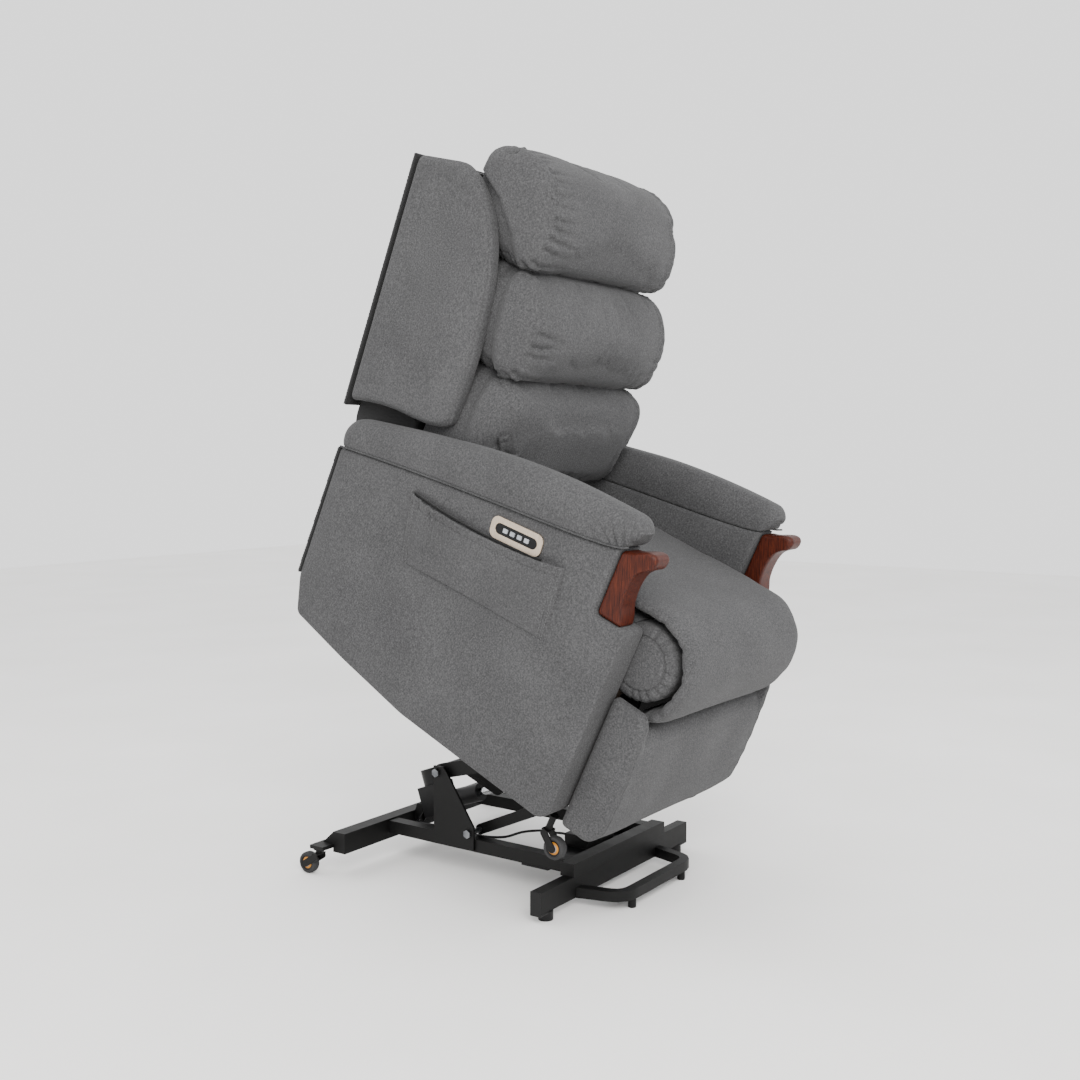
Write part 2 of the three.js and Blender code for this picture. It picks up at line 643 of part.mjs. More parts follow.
function liftRod() {
  const { x } = liftMotor;
  const rod = rodY(liftMotor.rodRadius, x, [-rodRaised + eye.rodRadius - overrun, -liftMotor.rodRear], 0);
  const shape = new THREE.Shape();
  shape.absarc(-rodRaised, 0, eye.rodRadius, 0, 2 * Math.PI, false);
  holeIn(shape, -rodRaised, 0, eye.rodHole);
  return join(rod, extrudeX(shape, [x - eye.half, x + eye.half]));
}

function motorEars() {
  const front = rearBar.front + overrun / 2;
  const half = eye.half + gap + motorEar.thickness;
  const pin = rodX(eye.pin, [liftMotor.x - half, liftMotor.x + half], liftMotor.y, liftMotor.z);
  const ears = [-1, 1].map((side) => {
    const shape = polygon([
      [front, motorEar.low], [front, motorEar.high], [liftMotor.y, liftMotor.z + eye.radius],
      [front - motorEar.reach, liftMotor.z + eye.radius], [front - motorEar.reach, liftMotor.z - eye.radius],
    ]);
    const inner = liftMotor.x + side * (eye.half + gap);
    return extrudeX(shape, [inner, inner + side * motorEar.thickness].sort((a, b) => a - b));
  });
  return [...ears, pin];
}

// Casters: the swivelling fork hangs from its mounting face, with its wheel behind the stem
function casterFork(drop, trailing) {
  const legInner = caster.wheelWidth / 2 + gap * 3;
  const crownTop = -(drop - caster.wheelRadius - caster.legThickness);
  const reach = trailing * caster.trail;
  const width = legInner + caster.legThickness;
  const legs = [-1, 1].map((side) => extrudeX(
    strapShape([0, crownTop - caster.legRadius], [reach, -drop], caster.legRadius),
    span(side, legInner, width)));
  const crown = boxBetween([-width, width], [-caster.legRadius, caster.legRadius],
    [crownTop - caster.legThickness, crownTop]);
  const stem = rodZ(caster.stem, 0, 0, [crownTop - gap, -gap]);
  const flange = rodZ(caster.legRadius + caster.stem / 2, 0, 0, [-gap - caster.legThickness, -gap]);
  const axle = rodX(caster.axle, [-width - gap, width + gap], reach, -drop, 12);
  return join(...legs, crown, stem, flange, axle);
}

function casterWheel(drop, trailing) {
  const half = caster.wheelWidth / 2;
  const { bore, wheelRadius, hubShare, webShare, tyreShare } = caster;
  const webHalf = half * webShare;
  const hubRadius = wheelRadius * hubShare;
  const webRadius = wheelRadius * webShare;
  const tyreRadius = wheelRadius * tyreShare;
  const profile = [
    [bore, -half], [hubRadius, -half], [webRadius, -webHalf], [tyreRadius, -half], [wheelRadius, -webHalf],
    [wheelRadius, webHalf], [tyreRadius, half], [webRadius, webHalf], [hubRadius, half], [bore, half],
    [bore, -half],
  ].map(([radius, height]) => new THREE.Vector2(radius, height));
  return new THREE.LatheGeometry(profile, 16).rotateZ(Math.PI / 2)
    .translate(0, trailing * caster.trail, -drop);
}

function rearCasterMount(sign) {
  const { inner, margin, gusset, gussetThickness } = casterPlate;
  const top = caster.wheelRadius + rearCaster.axleDrop + rearCaster.plateThickness;
  const rear = rearBar.front + rearBar.depth - overrun / 2;
  return join(
    boxBetween(span(sign, rearCaster.x - inner, rearCaster.x + margin), [rear, rearCaster.y + margin],
      [top - rearCaster.plateThickness, top]),
    extrudeX(polygon([
      [rear, top - overrun], [rearCaster.y + gusset, top - overrun],
      [rear, rearBar.bottom + rearBar.height]]),
    span(sign, rearBar.half - gussetThickness, rearBar.half)));
}

// Arms
const armShare = (y) => Math.max(0, (Math.min(y, arm.depth) - armSeam.front) / (arm.depth - armSeam.front));
const seamHeight = (y) => {
  const share = armShare(y);
  const fall = armSeam.rootShare * Math.sqrt(share) + (1 - armSeam.rootShare) * share * share;
  return armSeam.frontHeight - armSeam.drop * fall;
};
// The pad's crown falls back more evenly than the seam under it
const crownHeight = (y, thickness) => {
  const share = armShare(y);
  const fall = armSeam.straightShare * share + (1 - armSeam.straightShare) * share * share;
  return armSeam.frontHeight - armSeam.drop * fall + thickness;
};
const padRings = 13;
const padY = (station) => {
  const rear = arm.depth + padOverhang.rear;
  return (armPad.front + rear) / 2 + (rear - armPad.front) / 2 * station;
};
// The panel's top edge has its corners under the rings of the pad, so neither cuts into the other
const seamStops = [arm.depth, ...stations(padRings).map(padY).reverse()
  .filter((y) => y > armNotch.depth + arm.front && y < arm.depth - arm.front)];
const evenSteps = (count, from, to) => Array.from({ length: count },
  (_, i) => from + (to - from) * i / (count - 1));

function armPanel(sign) {
  const shape = new THREE.Shape();
  const { front, cornerRadius } = arm;
  const corner = front + cornerRadius;
  shape.moveTo(corner, 0);
  shape.lineTo(arm.depth * armUnderside.flatShare, 0);
  shape.lineTo(arm.depth * armUnderside.kneeShare, armUnderside.kneeZ);
  shape.lineTo(arm.depth * armUnderside.heelShare, armUnderside.heelZ);
  shape.lineTo(arm.depth, armUnderside.rearZ);
  for (const y of seamStops) shape.lineTo(y, seamHeight(y) - gap);
  shape.lineTo(armNotch.depth, seamHeight(armNotch.depth) - armNotch.seamGap);
  shape.lineTo(armNotch.depth, armNotch.low);
  shape.lineTo(front, armNotch.low);
  shape.lineTo(front, cornerRadius);
  shape.absarc(corner, cornerRadius, cornerRadius, Math.PI, 1.5 * Math.PI, false);
  return extrudeX(shape, span(sign, arm.inner, arm.outer),
    { bevel: armNotch.edge, bevelSegments: 2, curveSegments: 5 });
}

const padPoints = 17;
const padRounding = { end: 0.65, side: 0.14, liftPower: 0.55, sidePower: 0.6 };
const padThickness = (station) => {
  const { front, middle, rear } = armPadThickness;
  const end = station < 0 ? front : rear;
  return middle - (middle - end) * station * station;
};

// Arm pad: a crowned pad that follows the arm's seam and rounds down at both ends
function armPadSolid(sign) {
  const middleX = sign * (armPad.inner + armPad.outer) / 2;
  const half = (armPad.outer - armPad.inner) / 2;
  const rings = stations(padRings).map((station) => {
    const y = padY(station);
    const rounding = (1 - Math.abs(station) ** 9) ** (1 / 3);
    const low = seamHeight(y);
    const fullness = 1 - padRounding.end + padRounding.end * rounding;
    const height = (crownHeight(y, padThickness(station)) - low) * fullness;
    const width = half * (1 - padRounding.side + padRounding.side * rounding);
    return Array.from({ length: padPoints }, (_, i) => {
      const angle = Math.PI * i / (padPoints - 1);
      const across = -Math.cos(angle);
      const lift = Math.abs(Math.sin(angle)) ** padRounding.liftPower;
      const side = Math.sign(across) * Math.abs(across) ** padRounding.sidePower;
      return new THREE.Vector3(middleX + width * side, y, low + height * lift);
    });
  });
  return loft(rings);
}

function knuckleSolid(sign) {
  const back = armNotch.depth - gap;
  const foot = armNotch.low + gap;
  const at = ([along, up]) => new THREE.Vector2(
    knuckle.tipY + (back - knuckle.tipY) * along, foot + (knuckle.tipZ - foot) * up);
  const shape = new THREE.Shape();
  shape.moveTo(...at(knuckleBackShares[0]).toArray());
  for (const point of knuckleBackShares.slice(1)) shape.lineTo(...at(point).toArray());
  shape.lineTo(...at(knuckleFrontShares[0]).toArray());
  shape.splineThru(knuckleFrontShares.slice(1).map(at));
  return extrudeX(shape, span(sign, knuckle.inner, knuckle.outer), { bevel: knuckle.edge, curveSegments: 2 });
}

// Side pocket: a shallow open-topped pouch of cloth on the outside of the right arm
function pocketSolid() {
  const { rearTop, frontTop, frontFoot, rearFoot, sag, depth, wall } = pocket;
  const outer = -arm.outer - gap;
  const shape = new THREE.Shape();
  shape.moveTo(...rearFoot);
  shape.lineTo(...rearTop);
  const sagged = (rearTop[1] + frontTop[1]) / 2 - 2 * sag;
  shape.quadraticCurveTo((rearTop[0] + frontTop[0]) / 2, sagged, ...frontTop);
  shape.lineTo(...frontFoot);
  shape.closePath();
  const middle = [(rearFoot[0] + frontTop[0]) / 2, (rearFoot[1] + frontTop[1]) / 2];
  const inset = ([y, z]) => [
    y + Math.sign(middle[0] - y) * wall * 2,
    z + (z < middle[1] ? wall * 2 : depth * 4),
  ];
  const cavity = polygon([rearFoot, rearTop, frontTop, frontFoot].map(inset));
  return cut(extrudeX(shape, [outer - depth, outer]),
    extrudeX(cavity, [outer - depth + wall, outer - wall / 2]));
}

// Hand control: bezel, dark insert and sprung keys, drawn about its middle and set on the arm
function slotShape(length, height) {
  const reach = (length - height) / 2;
  return strapShape([-reach, 0], [reach, 0], height / 2);
}

const cornerSteps = 6;

function bezelSolid() {
  const { length, height, corner } = bezel;
  const [y, z] = [length / 2 - corner, height / 2 - corner];
  const shape = new THREE.Shape();
  shape.absarc(y, z, corner, 0, Math.PI / 2, false);
  shape.absarc(-y, z, corner, Math.PI / 2, Math.PI, false);
  shape.absarc(-y, -z, corner, Math.PI, 1.5 * Math.PI, false);
  shape.absarc(y, -z, corner, 1.5 * Math.PI, 2 * Math.PI, false);
  const hole = slotShape(bezel.length - 2 * bezel.rim, bezel.height - 2 * bezel.rim);
  shape.holes.push(new THREE.Path(hole.getPoints(cornerSteps).reverse()));
  return extrudeX(shape, [-bezel.depth, 0], { curveSegments: cornerSteps });
}

const keyAt = (index) => (index - (key.count - 1) / 2) * key.pitch;

function insertSolid() {
  const shape = slotShape(bezel.length - 2 * bezel.rim - 2 * gap, bezel.height - 2 * bezel.rim - 2 * gap);
  const plate = extrudeX(shape, [-insertDepth, 0], { curveSegments: 8 });
  const wells = Array.from({ length: key.count }, (_, i) => boxBetween(
    [-insertDepth - overrun, overrun],
    [keyAt(i) - key.width / 2 - gap, keyAt(i) + key.width / 2 + gap],
    [-key.height / 2 - gap, key.height / 2 + gap]));
  return cut(plate, ...wells);
}

function keySolid(index) {
  const front = -insertDepth - key.proud;
  return boxBetween([front, front + key.depth - key.travel],
    [keyAt(index) - key.width / 2, keyAt(index) + key.width / 2], [-key.height / 2, key.height / 2]);
}

// Seat cushion: a deep cushion whose front rolls over, gathered at both ends of the roll
function seatCushion() {
  const { y, z, radius } = roll;
  const front = evenSteps(7, rollArc.from, rollArc.to).map((angle) => [
    y + radius * Math.cos(angle * degree), z + radius * Math.sin(angle * degree)]);
  const soft = bolster([
    [seat.rear, seatBottom + radius / 4], [seat.rear, seat.top - radius / 2],
    [seat.rear - radius / 2, seat.top],
    [seat.rear / 2, seat.top], [radius, seat.top],
    ...front, [radius, seatBottom], [seat.rear / 2, seatBottom], [seat.rear - radius / 2, seatBottom],
  ], { half: seat.half, count: 12, points: 44, endShare: 0.9, fullness: 9, pleats: 11, pleatShare: 0.012,
    crownShare: 0.01 });
  return cut(soft, boxBetween([-arm.inner, arm.inner], [sideBoard.front, arm.depth], [0, seatBottom]));
}

// Chaise pad: one long pad from the seat's rear edge over the front roll, crowned across
function chaisePad() {
  const { thickness, clearance, bend, lip, rear } = chaise;
  const radius = roll.radius + clearance + thickness / 2;
  const top = roll.z + radius;
  const path = [
    [rear, top - thickness / 3], [rear * 4 / 5, top - thickness / 4], [rear / 2, top - thickness / 6],
    [rear / 5, top],
  ];
  for (const angle of evenSteps(8, chaiseArc.from, chaiseArc.to)) {
    path.push([roll.y + radius * Math.cos(angle * degree), roll.z + radius * Math.sin(angle * degree)]);
  }
  path.push(bend, lip);
  const curve = new THREE.CatmullRomCurve3(path.map(([y, z]) => new THREE.Vector3(0, y, z)));
  const count = 22;
  const along = curve.getSpacedPoints(count - 1);
  const normals = along.map((point, i) => {
    const tangent = curve.getTangentAt(i / (count - 1));
    return new THREE.Vector3(0, tangent.z, -tangent.y);
  });
  const { thinShare, sideShare, crownShare, innerShare } = chaiseLoft;
  const thin = (i) => thinShare + (1 - thinShare) * Math.sin(Math.PI * i / (count - 1)) ** 0.35;
  return loft(stations(11).map((station) => {
    const edge = (1 - Math.abs(station) ** 7) ** (1 / 3);
    const outer = [];
    const inner = [];
    along.forEach((point, i) => {
      const half = thickness / 2 * thin(i);
      const rounded = half * (sideShare + (1 - sideShare) * edge);
      const crown = rounded + thickness * crownShare * (1 - station * station);
      outer.push(point.clone().addScaledVector(normals[i], -crown).setX(chaise.half * station));
      inner.push(point.clone().addScaledVector(normals[i], half * innerShare).setX(chaise.half * station));
    });
    return [...inner, ...outer.reverse()];
  }), true);
}

function seatDeck() {
  const half = arm.inner - sideBoard.thickness / 4;
  return boxBetween([-half, half], [sideBoard.front, seat.rear], [deck.bottom, deck.bottom + deck.thickness]);
}

// Seat frame: side boards with ears for the back hinges, and two cross members
function seatFrame() {
  const outer = arm.inner - gap;
  const inner = outer - sideBoard.thickness;
  const boards = sides.map(({ sign }) => {
    const shape = polygon([
      [sideBoard.front, sideBoard.bottom], [sideBoard.rear, sideBoard.bottom * 2],
      [sideBoard.rear, deck.bottom - gap], [backHinge.y + sideBoard.earHalf, deck.bottom - gap],
      [backHinge.y + sideBoard.earHalf / 2, sideBoard.earTop],
      [backHinge.y - sideBoard.earHalf / 2, sideBoard.earTop],
      [backHinge.y - sideBoard.earHalf, deck.bottom - gap], [sideBoard.front, deck.bottom - gap],
    ]);
    holeIn(shape, legArm.y, legArm.z, legPin + gap);
    const pin = rodX(backHinge.pinRadius, span(sign, hingeArm.inner - gap, inner + overrun),
      backHinge.y, backHinge.z);
    return join(extrudeX(shape, span(sign, inner, outer)), pin);
  });
  const { width, height, frontY, frontZ, rearY, rearZ } = crossMember;
  const reach = [-inner - overrun, inner + overrun];
  return join(...boards,
    boxBetween(reach, [frontY, frontY + width], [frontZ, frontZ + height]),
    boxBetween(reach, [rearY, rearY + width], [rearZ, rearZ + height]));
}

// Steel brackets under the seat deck that carry the front ends of the lift links
function linkBrackets() {
  const { inner, thickness, front, rear, bottom, tubeY, tubeZ, tubeRadius } = linkBracket;
  const tube = rodX(tubeRadius, [-inner - overrun, inner + overrun], tubeY, tubeZ);
  return join(tube, ...sides.map(({ sign }) => {
    const shape = polygon([
      [front, bottom], [rear - bodyUpperPivot.z / 2, bottom], [rear, bodyUpperPivot.z],
      [rear, deck.bottom - gap], [front, deck.bottom - gap],
    ]);
    const plate = extrudeX(shape, span(sign, inner, inner + thickness));
    const clear = boxBetween(span(sign, inner - overrun, inner + thickness + overrun),
      [crossMember.frontY - gap, crossMember.frontY + crossMember.width + gap],
      [crossMember.frontZ - gap, crossMember.frontZ + crossMember.height + gap]);
    const pins = [
      rodX(boltRadius, span(sign, lowerLink.inner - boltHead.height, inner + overrun),
        bodyLowerPivot.y, bodyLowerPivot.z),
      rodX(boltRadius, span(sign, inner, upperLink.inner + upperLink.thickness + boltHead.height),
        bodyUpperPivot.y, bodyUpperPivot.z),
    ];
    return join(cut(plate, clear), ...pins);
  }));
}

// Back, drawn with the chair body
const boardFront = (z) => backBoard.footY + (z - backBoard.footZ) * backBoard.lean;

function backBoardSolid() {
  const { footZ, topZ, thickness } = backBoard;
  return extrudeX(polygon([
    [boardFront(footZ), footZ], [boardFront(footZ) + thickness, footZ],
    [boardFront(topZ) + thickness, topZ], [boardFront(topZ), topZ],
  ]), [-padHalf, padHalf]);
}

function backFrameSolid() {
  const { half, upright, depth, bottom, top, rail: height } = backFrame;
  const rear = (z) => boardFront(z) + backBoard.thickness + gap;
  const slab = (low, high) => polygon([
    [rear(low), low], [rear(low) + depth, low], [rear(high) + depth, high], [rear(high), high]]);
  const uprights = sides.map(({ sign }) => extrudeX(slab(bottom, top), span(sign, half - upright, half)));
  const middle = (bottom + top) / 2;
  const rails = [[bottom, bottom + height], [middle, middle + height], [top - height, top]]
    .map(([low, high]) => extrudeX(slab(low, high), [-half + upright - overrun, half - upright + overrun]));
  return join(...uprights, ...rails, ...sides.map(({ sign }) => hingeArmSolid(sign)));
}

function wingSolid(sign) {
  const shape = new THREE.Shape();
  const foot = rearSkin.bottomY - gap * 2;
  shape.moveTo(foot, wingEdge.rearFoot);
  shape.lineTo(rearSkin.topY - gap * 2, wingEdge.rearTop);
  shape.lineTo(...wingEdge.top);
  for (const curve of wingEdge.curves) shape.quadraticCurveTo(...curve);
  shape.quadraticCurveTo(...wingEdge.foot, foot, wingEdge.rearFoot);
  return extrudeX(shape, span(sign, wing.inner, wing.outer),
    { bevel: wing.round, bevelSegments: 3, curveSegments: 5 });
}

function rearSkinSolid() {
  const { half, bottomY, bottomZ, topY, topZ, thickness } = rearSkin;
  const panel = extrudeX(polygon([
    [bottomY, bottomZ], [bottomY + thickness, bottomZ], [topY + thickness, topZ], [topY, topZ],
  ]), [-half, half]);
  return join(panel, ...sides.map(({ sign }) => extrudeX(
    polygon(flapOutline), span(sign, arm.inner - flapInset.inner, arm.inner - flapInset.outer))));
}

// Lower rear cover, lower between the arms so that the back can recline over it
function lowerSkinSolid() {
  const { half, bottom, top, middleTop, thickness } = lowerSkin;
  const front = arm.depth + gap;
  const notch = boxBetween([-arm.inner, arm.inner], [front - overrun, front + thickness + overrun],
    [middleTop, top + overrun]);
  return cut(boxBetween([-half, half], [front, front + thickness], [bottom, top]), notch);
}

// Hinge arm of the back, from its pin up behind the back board
function hingeArmSolid(sign) {
  const { y, z } = backHinge;
  const { inner, thickness, radius, width, elbow, bottom, top } = hingeArm;
  const front = (height) => boardFront(height) + backBoard.thickness + gap;
  const shape = new THREE.Shape();
  shape.absarc(y, z, radius, 0.85 * Math.PI, 1.85 * Math.PI, false);
  shape.lineTo(front(elbow) + width, elbow);
  shape.lineTo(front(top) + width, top);
  shape.lineTo(front(top), top);
  shape.lineTo(front(bottom), bottom);
  shape.closePath();
  holeIn(shape, y, z, backHinge.pinRadius + gap);
  return extrudeX(shape, span(sign, inner, inner + thickness));
}

// Soft piece cut flat where it rests on the back board
function againstBoard(soft) {
  const { footZ, topZ } = backBoard;
  const face = (z) => boardFront(z) - gap;
  const [low, high] = [footZ - overrun, topZ + padHalf];
  return cut(soft, extrudeX(polygon([
    [face(low), low], [face(low) + padHalf, low], [face(high) + padHalf, high], [face(high), high],
  ]), [-padHalf - overrun, padHalf + overrun]));
}

const pillowForm = { half: padHalf, count: 12, points: 34, endShare: 0.74, fullness: 6, pleats: 8,
  pleatShare: 0.03, crownShare: 0.05 };

function pillow({ board, free }) {
  const resting = board.map((z) => [boardFront(z) - gap, z]);
  return againstBoard(bolster([...resting, ...free], pillowForm));
}

// Legrest: an upholstered board on two arms and two links that fold under the seat
function legBoardSolid() {
  const { back, bottom, top, front, half } = legBoard;
  const { back: corner, nose, brow, slope, swell, chinUp, chin, chinIn } = legBoardRound;
  const soft = bolster([
    [back - corner, top], [front + nose, top], [front + brow, top - brow], [front + swell, top - slope],
    [front, bottom + chinUp], [front + chinIn, bottom + chin], [front + nose, bottom],
    [back - corner, bottom], [back, bottom + corner], [back, (top + bottom) / 2], [back, top - corner],
  ], { half, count: 10, points: 30, endShare: 0.9, fullness: 12, pleats: 4, pleatShare: 0, crownShare: 0.01,
  });
  const flat = cut(soft,
    boxBetween([-arm.outer, arm.outer], [back, arm.depth], [bottom - arm.outer, top + arm.outer]));
  return join(flat, ...sides.map(({ sign }) => legShoulderSolid(sign)));
}

// Raised end of the legrest's pad, outside the chaise pad's lip
function legShoulderSolid(sign) {
  const { inner, outer, top, back, front, low, round } = legShoulder;
  const shape = polygon([
    [back, low], [back, top - round], [back - round, top], [front + 2 * round, top],
    [front + round / 2, top - round],
    [front, top - 3 * round], [front, low],
  ]);
  return extrudeX(shape, span(sign, inner, outer), { bevel: legShoulder.edge, bevelSegments: 1 });
}

const foldedArmEnd = {
  y: legArm.y - legArm.length * Math.cos(legArm.closed),
  z: legArm.z + legArm.length * Math.sin(legArm.closed),
};
const linkReach = Math.hypot(foldedArmEnd.y - legLink.boardY, foldedArmEnd.z - legLink.boardZ);

function legArmSolid(sign) {
  const shape = strapShape([foldedArmEnd.y, foldedArmEnd.z], [legArm.y, legArm.z], legArm.width / 2);
  holeIn(shape, foldedArmEnd.y, foldedArmEnd.z, legPin + gap);
  const plate = extrudeX(shape, span(sign, legArm.x, legArm.x + legArm.thickness));
  const board = arm.inner - gap - sideBoard.thickness;
  const pinSpan = span(sign, legArm.x + gap, board + sideBoard.thickness / 2);
  return join(plate, rodX(legPin, pinSpan, legArm.y, legArm.z));
}

function legArms() {
  const tubeSpan = [-legArm.x - overrun, legArm.x + overrun];
  const torqueTube = rodX(legArm.width / 2 - legArm.thickness / 3, tubeSpan, legArm.y, legArm.z);
  return join(torqueTube, ...sides.map(({ sign }) => legArmSolid(sign)));
}

function legLinkSolid(sign) {
  const boardEnd = [legLink.boardY, legLink.boardZ];
  const shape = strapShape(boardEnd, [foldedArmEnd.y, foldedArmEnd.z], legLink.width / 2);
  holeIn(shape, legLink.boardY, legLink.boardZ, legPin + gap);
  const plate = extrudeX(shape, span(sign, legLink.x, legLink.x + legLink.thickness));
  return join(plate, rodX(legPin, span(sign, legLink.x + gap, legArm.x + legArm.thickness + gap),
    foldedArmEnd.y, foldedArmEnd.z));
}

// Plate behind the legrest with the two ears that its links hang from
function legBracketSolid() {
  const inner = legLink.x - gap - legLink.thickness;
  const { boardY, boardZ, width, plate, rise } = legLink;
  const back = legBoard.back + gap;
  const ears = sides.map(({ sign }) => {
    const shape = new THREE.Shape();
    shape.moveTo(back, boardZ - rise / 2);
    shape.lineTo(boardY, boardZ - width / 2);
    shape.absarc(boardY, boardZ, width / 2, -Math.PI / 2, Math.PI / 2, false);
    shape.lineTo(back, boardZ + rise / 2);
    shape.closePath();
    return join(extrudeX(shape, span(sign, inner, legLink.x - gap)),
      rodX(legPin, span(sign, legLink.x - overrun, legLink.x + legLink.thickness + gap), boardY, boardZ));
  });
  const half = legLink.x - gap;
  return join(boxBetween([-half, half], [back, back + plate], [boardZ - rise, boardZ + rise]), ...ears);
}

// Recline drive under the seat: its tube and gearbox, and the rod that slides forward
function reclineTube() {
  const { x, z, rear, front, radius, rodRadius, rodLength } = reclineMotor;
  const body = rodY(radius, x, [front, rear], z);
  const half = radius + reclineBox.wall;
  const boxRear = rear - reclineBox.inset;
  const box = boxBetween([x - half, x + half], [boxRear - reclineBox.length, boxRear],
    [z - reclineBox.drop, z + radius]);
  const bore = rodY(rodRadius + gap, x, [front - overrun, front + rodLength + reclineMotor.spare], z);
  const lugs = [front + radius * 2, rear - radius * 2].map((y) => boxBetween(
    [x - radius / 2, x + radius / 2], [y - radius / 2, y + radius / 2], [z, deck.bottom - gap]));
  return cut(join(body, box, ...lugs), bore);
}

function reclineRod() {
  const { x, z, front, rodRadius, rodLength } = reclineMotor;
  const { inset, length, half, overlap } = reclineNut;
  const rod = rodY(rodRadius, x, [front - inset, front + rodLength], z);
  const nutFront = front - inset - overlap;
  return join(rod, boxBetween([x - half, x + half], [nutFront, nutFront + length], [z - half, z + half]));
}

// Supply box on the base, with its mains inlet, and the lead to the lift motor
const trayTop = footTop - gap;

function supplyBoxSolid() {
  const { x, y, width, depth, height, tray } = supplyBox;
  return join(
    boxBetween([-rail.outer, rail.outer], [y - tray, y + depth + tray], [trayTop - tray, trayTop]),
    boxBetween([x, x + width], [y, y + depth], [trayTop - tray / 2, trayTop + height]));
}

function mainsInlet() {
  const { x, y, width, depth, height } = supplyBox;
  const [left, right] = [x + width * 0.55, x + width * 0.9];
  const [low, high] = [trayTop + height * 0.15, trayTop + height * 0.85];
  const rear = y + depth + gap;
  const wall = supplyBox.tray / 2;
  const body = boxBetween([left, right], [rear, rear + height / 2], [low, high]);
  const socket = boxBetween([left + wall, right - wall], [rear + wall, rear + height],
    [low + wall, high - wall]);
  return cut(body, socket);
}

// Lead from the lift motor's bracket along the right rail to the supply box
function motorLead() {
  const ear = -(eye.half + motorEar.thickness) + liftMotor.x;
  const box = supplyBox.y + supplyBox.depth + gap;
  const points = leadPoints(ear, box).map((point) => new THREE.Vector3(...point));
  return barAlong(new THREE.CatmullRomCurve3(points), lead.radius, lead.sides, lead.steps);
}

// Chair, assembled
const liftChair = new THREE.Group();

function group(parent, { x = 0, y = 0, z = 0 }, tilt = 0) {
  const nested = new THREE.Group();
  nested.position.set(x, y, z);
  nested.rotation.x = tilt;
  parent.add(nested);
  return nested;
}

liftChair.add(
  part('front_foot_bar', footBarTube(), finish.steel),
  part('front_tie_bar', tieBarTube(), finish.steel),
  part('front_loop', frontLoop(), finish.steel),
  part('rear_cross_bar', rearBarWeldment(), finish.steel),
  part('upper_pivot_shaft', pivotShaft(upperPivot), finish.bright),
  part('lower_pivot_shaft', pivotShaft(lowerPivot), finish.bright),
  part('supply_box', supplyBoxSolid(), finish.blackPlastic),
  part('mains_inlet', mainsInlet(), finish.blackPlastic),
  part('motor_lead', motorLead(), finish.blackPlastic),
);
for (const { name, sign } of sides) {
  liftChair.add(
    part(`side_rail_${name}`, sideRail(sign), finish.steel),
    part(`foot_cap_${name}`, footCap(sign), finish.blackPlastic),
  );
}

group(liftChair, lowerPivot, -lowerRaised).add(part('lower_links', lowerLinks(), finish.steel));
group(liftChair, upperPivot, -upperRaised).add(part('upper_links', upperLinks(), finish.steel));
group(liftChair, { y: liftMotor.y, z: liftMotor.z }, -motorRaised).add(
  part('lift_gearbox', liftGearbox(), finish.blackPlastic),
  part('lift_rod', liftRod(), finish.bright),
);

const rearPlateFace = caster.wheelRadius + rearCaster.axleDrop;
for (const { name, sign } of sides) {
  group(liftChair, { x: sign * rearCaster.x, y: rearCaster.y, z: rearPlateFace - gap }).add(
    part(`rear_caster_fork_${name}`, casterFork(rearCaster.axleDrop - gap, 1), finish.steel),
    part(`rear_caster_wheel_${name}`, casterWheel(rearCaster.axleDrop - gap, 1), finish.tyre),
  );
}

const chairBody = group(liftChair, raisedFront, raisedTilt);
chairBody.add(
  part('seat_frame', seatFrame(), finish.board),
  part('seat_deck', seatDeck(), finish.board),
  part('link_brackets', linkBrackets(), finish.steel),
  part('side_pocket', pocketSolid(), finish.fabric),
  part('seat_cushion', seatCushion(), finish.fabric),
  part('chaise_pad', chaisePad(), finish.fabric),
  part('lower_rear_cover', lowerSkinSolid(), finish.blackCloth),
  part('recline_drive', reclineTube(), finish.greyPlastic),
  part('recline_rod', reclineRod(), finish.bright),
  part('leg_board', legBoardSolid(), finish.fabric),
  part('leg_bracket', legBracketSolid(), finish.steel),
  part('leg_arms', legArms(), finish.steel),
  part('back_board', backBoardSolid(), finish.blackCloth),
  part('back_frame', backFrameSolid(), finish.steel),
  part('rear_cover', rearSkinSolid(), finish.blackCloth),
  part('head_pillow', pillow(headOutline), finish.fabric),
  part('middle_pillow', pillow(middleOutline), finish.fabric),
  part('lumbar_pillow', pillow(lumbarOutline), finish.fabric),
);
for (const { name, sign } of sides) {
  chairBody.add(
    part(`arm_${name}`, armPanel(sign), finish.fabric),
    part(`arm_pad_${name}`, armPadSolid(sign), finish.fabric),
    part(`knuckle_${name}`, knuckleSolid(sign), finish.wood),
    part(`wing_${name}`, wingSolid(sign), finish.fabric),
    part(`leg_link_${name}`, legLinkSolid(sign), finish.steel),
  );
  const drop = frontCaster.axleDrop;
  group(chairBody, { x: sign * frontCaster.x, y: frontCaster.y }).add(
    part(`front_caster_fork_${name}`, casterFork(drop, -1), finish.steel),
    part(`front_caster_wheel_${name}`, casterWheel(drop, -1), finish.tyre),
  );
}

const control = group(chairBody, { x: -arm.outer - gap, y: bezel.y, z: bezel.z }, bezel.tilt);
control.add(
  part('control_bezel', bezelSolid(), finish.champagne),
  part('control_insert', insertSolid(), finish.blackPlastic),
);
for (let i = 0; i < key.count; i += 1) {
  control.add(part(`control_key_${i + 1}`, keySolid(i), finish.keyPlastic));
}

// The origin is on the floor, under the middle of the chair as it stands
const reach = new THREE.Box3().setFromObject(liftChair);
const origin = reach.getCenter(new THREE.Vector3()).setZ(reach.min.z);
liftChair.position.copy(origin).negate();

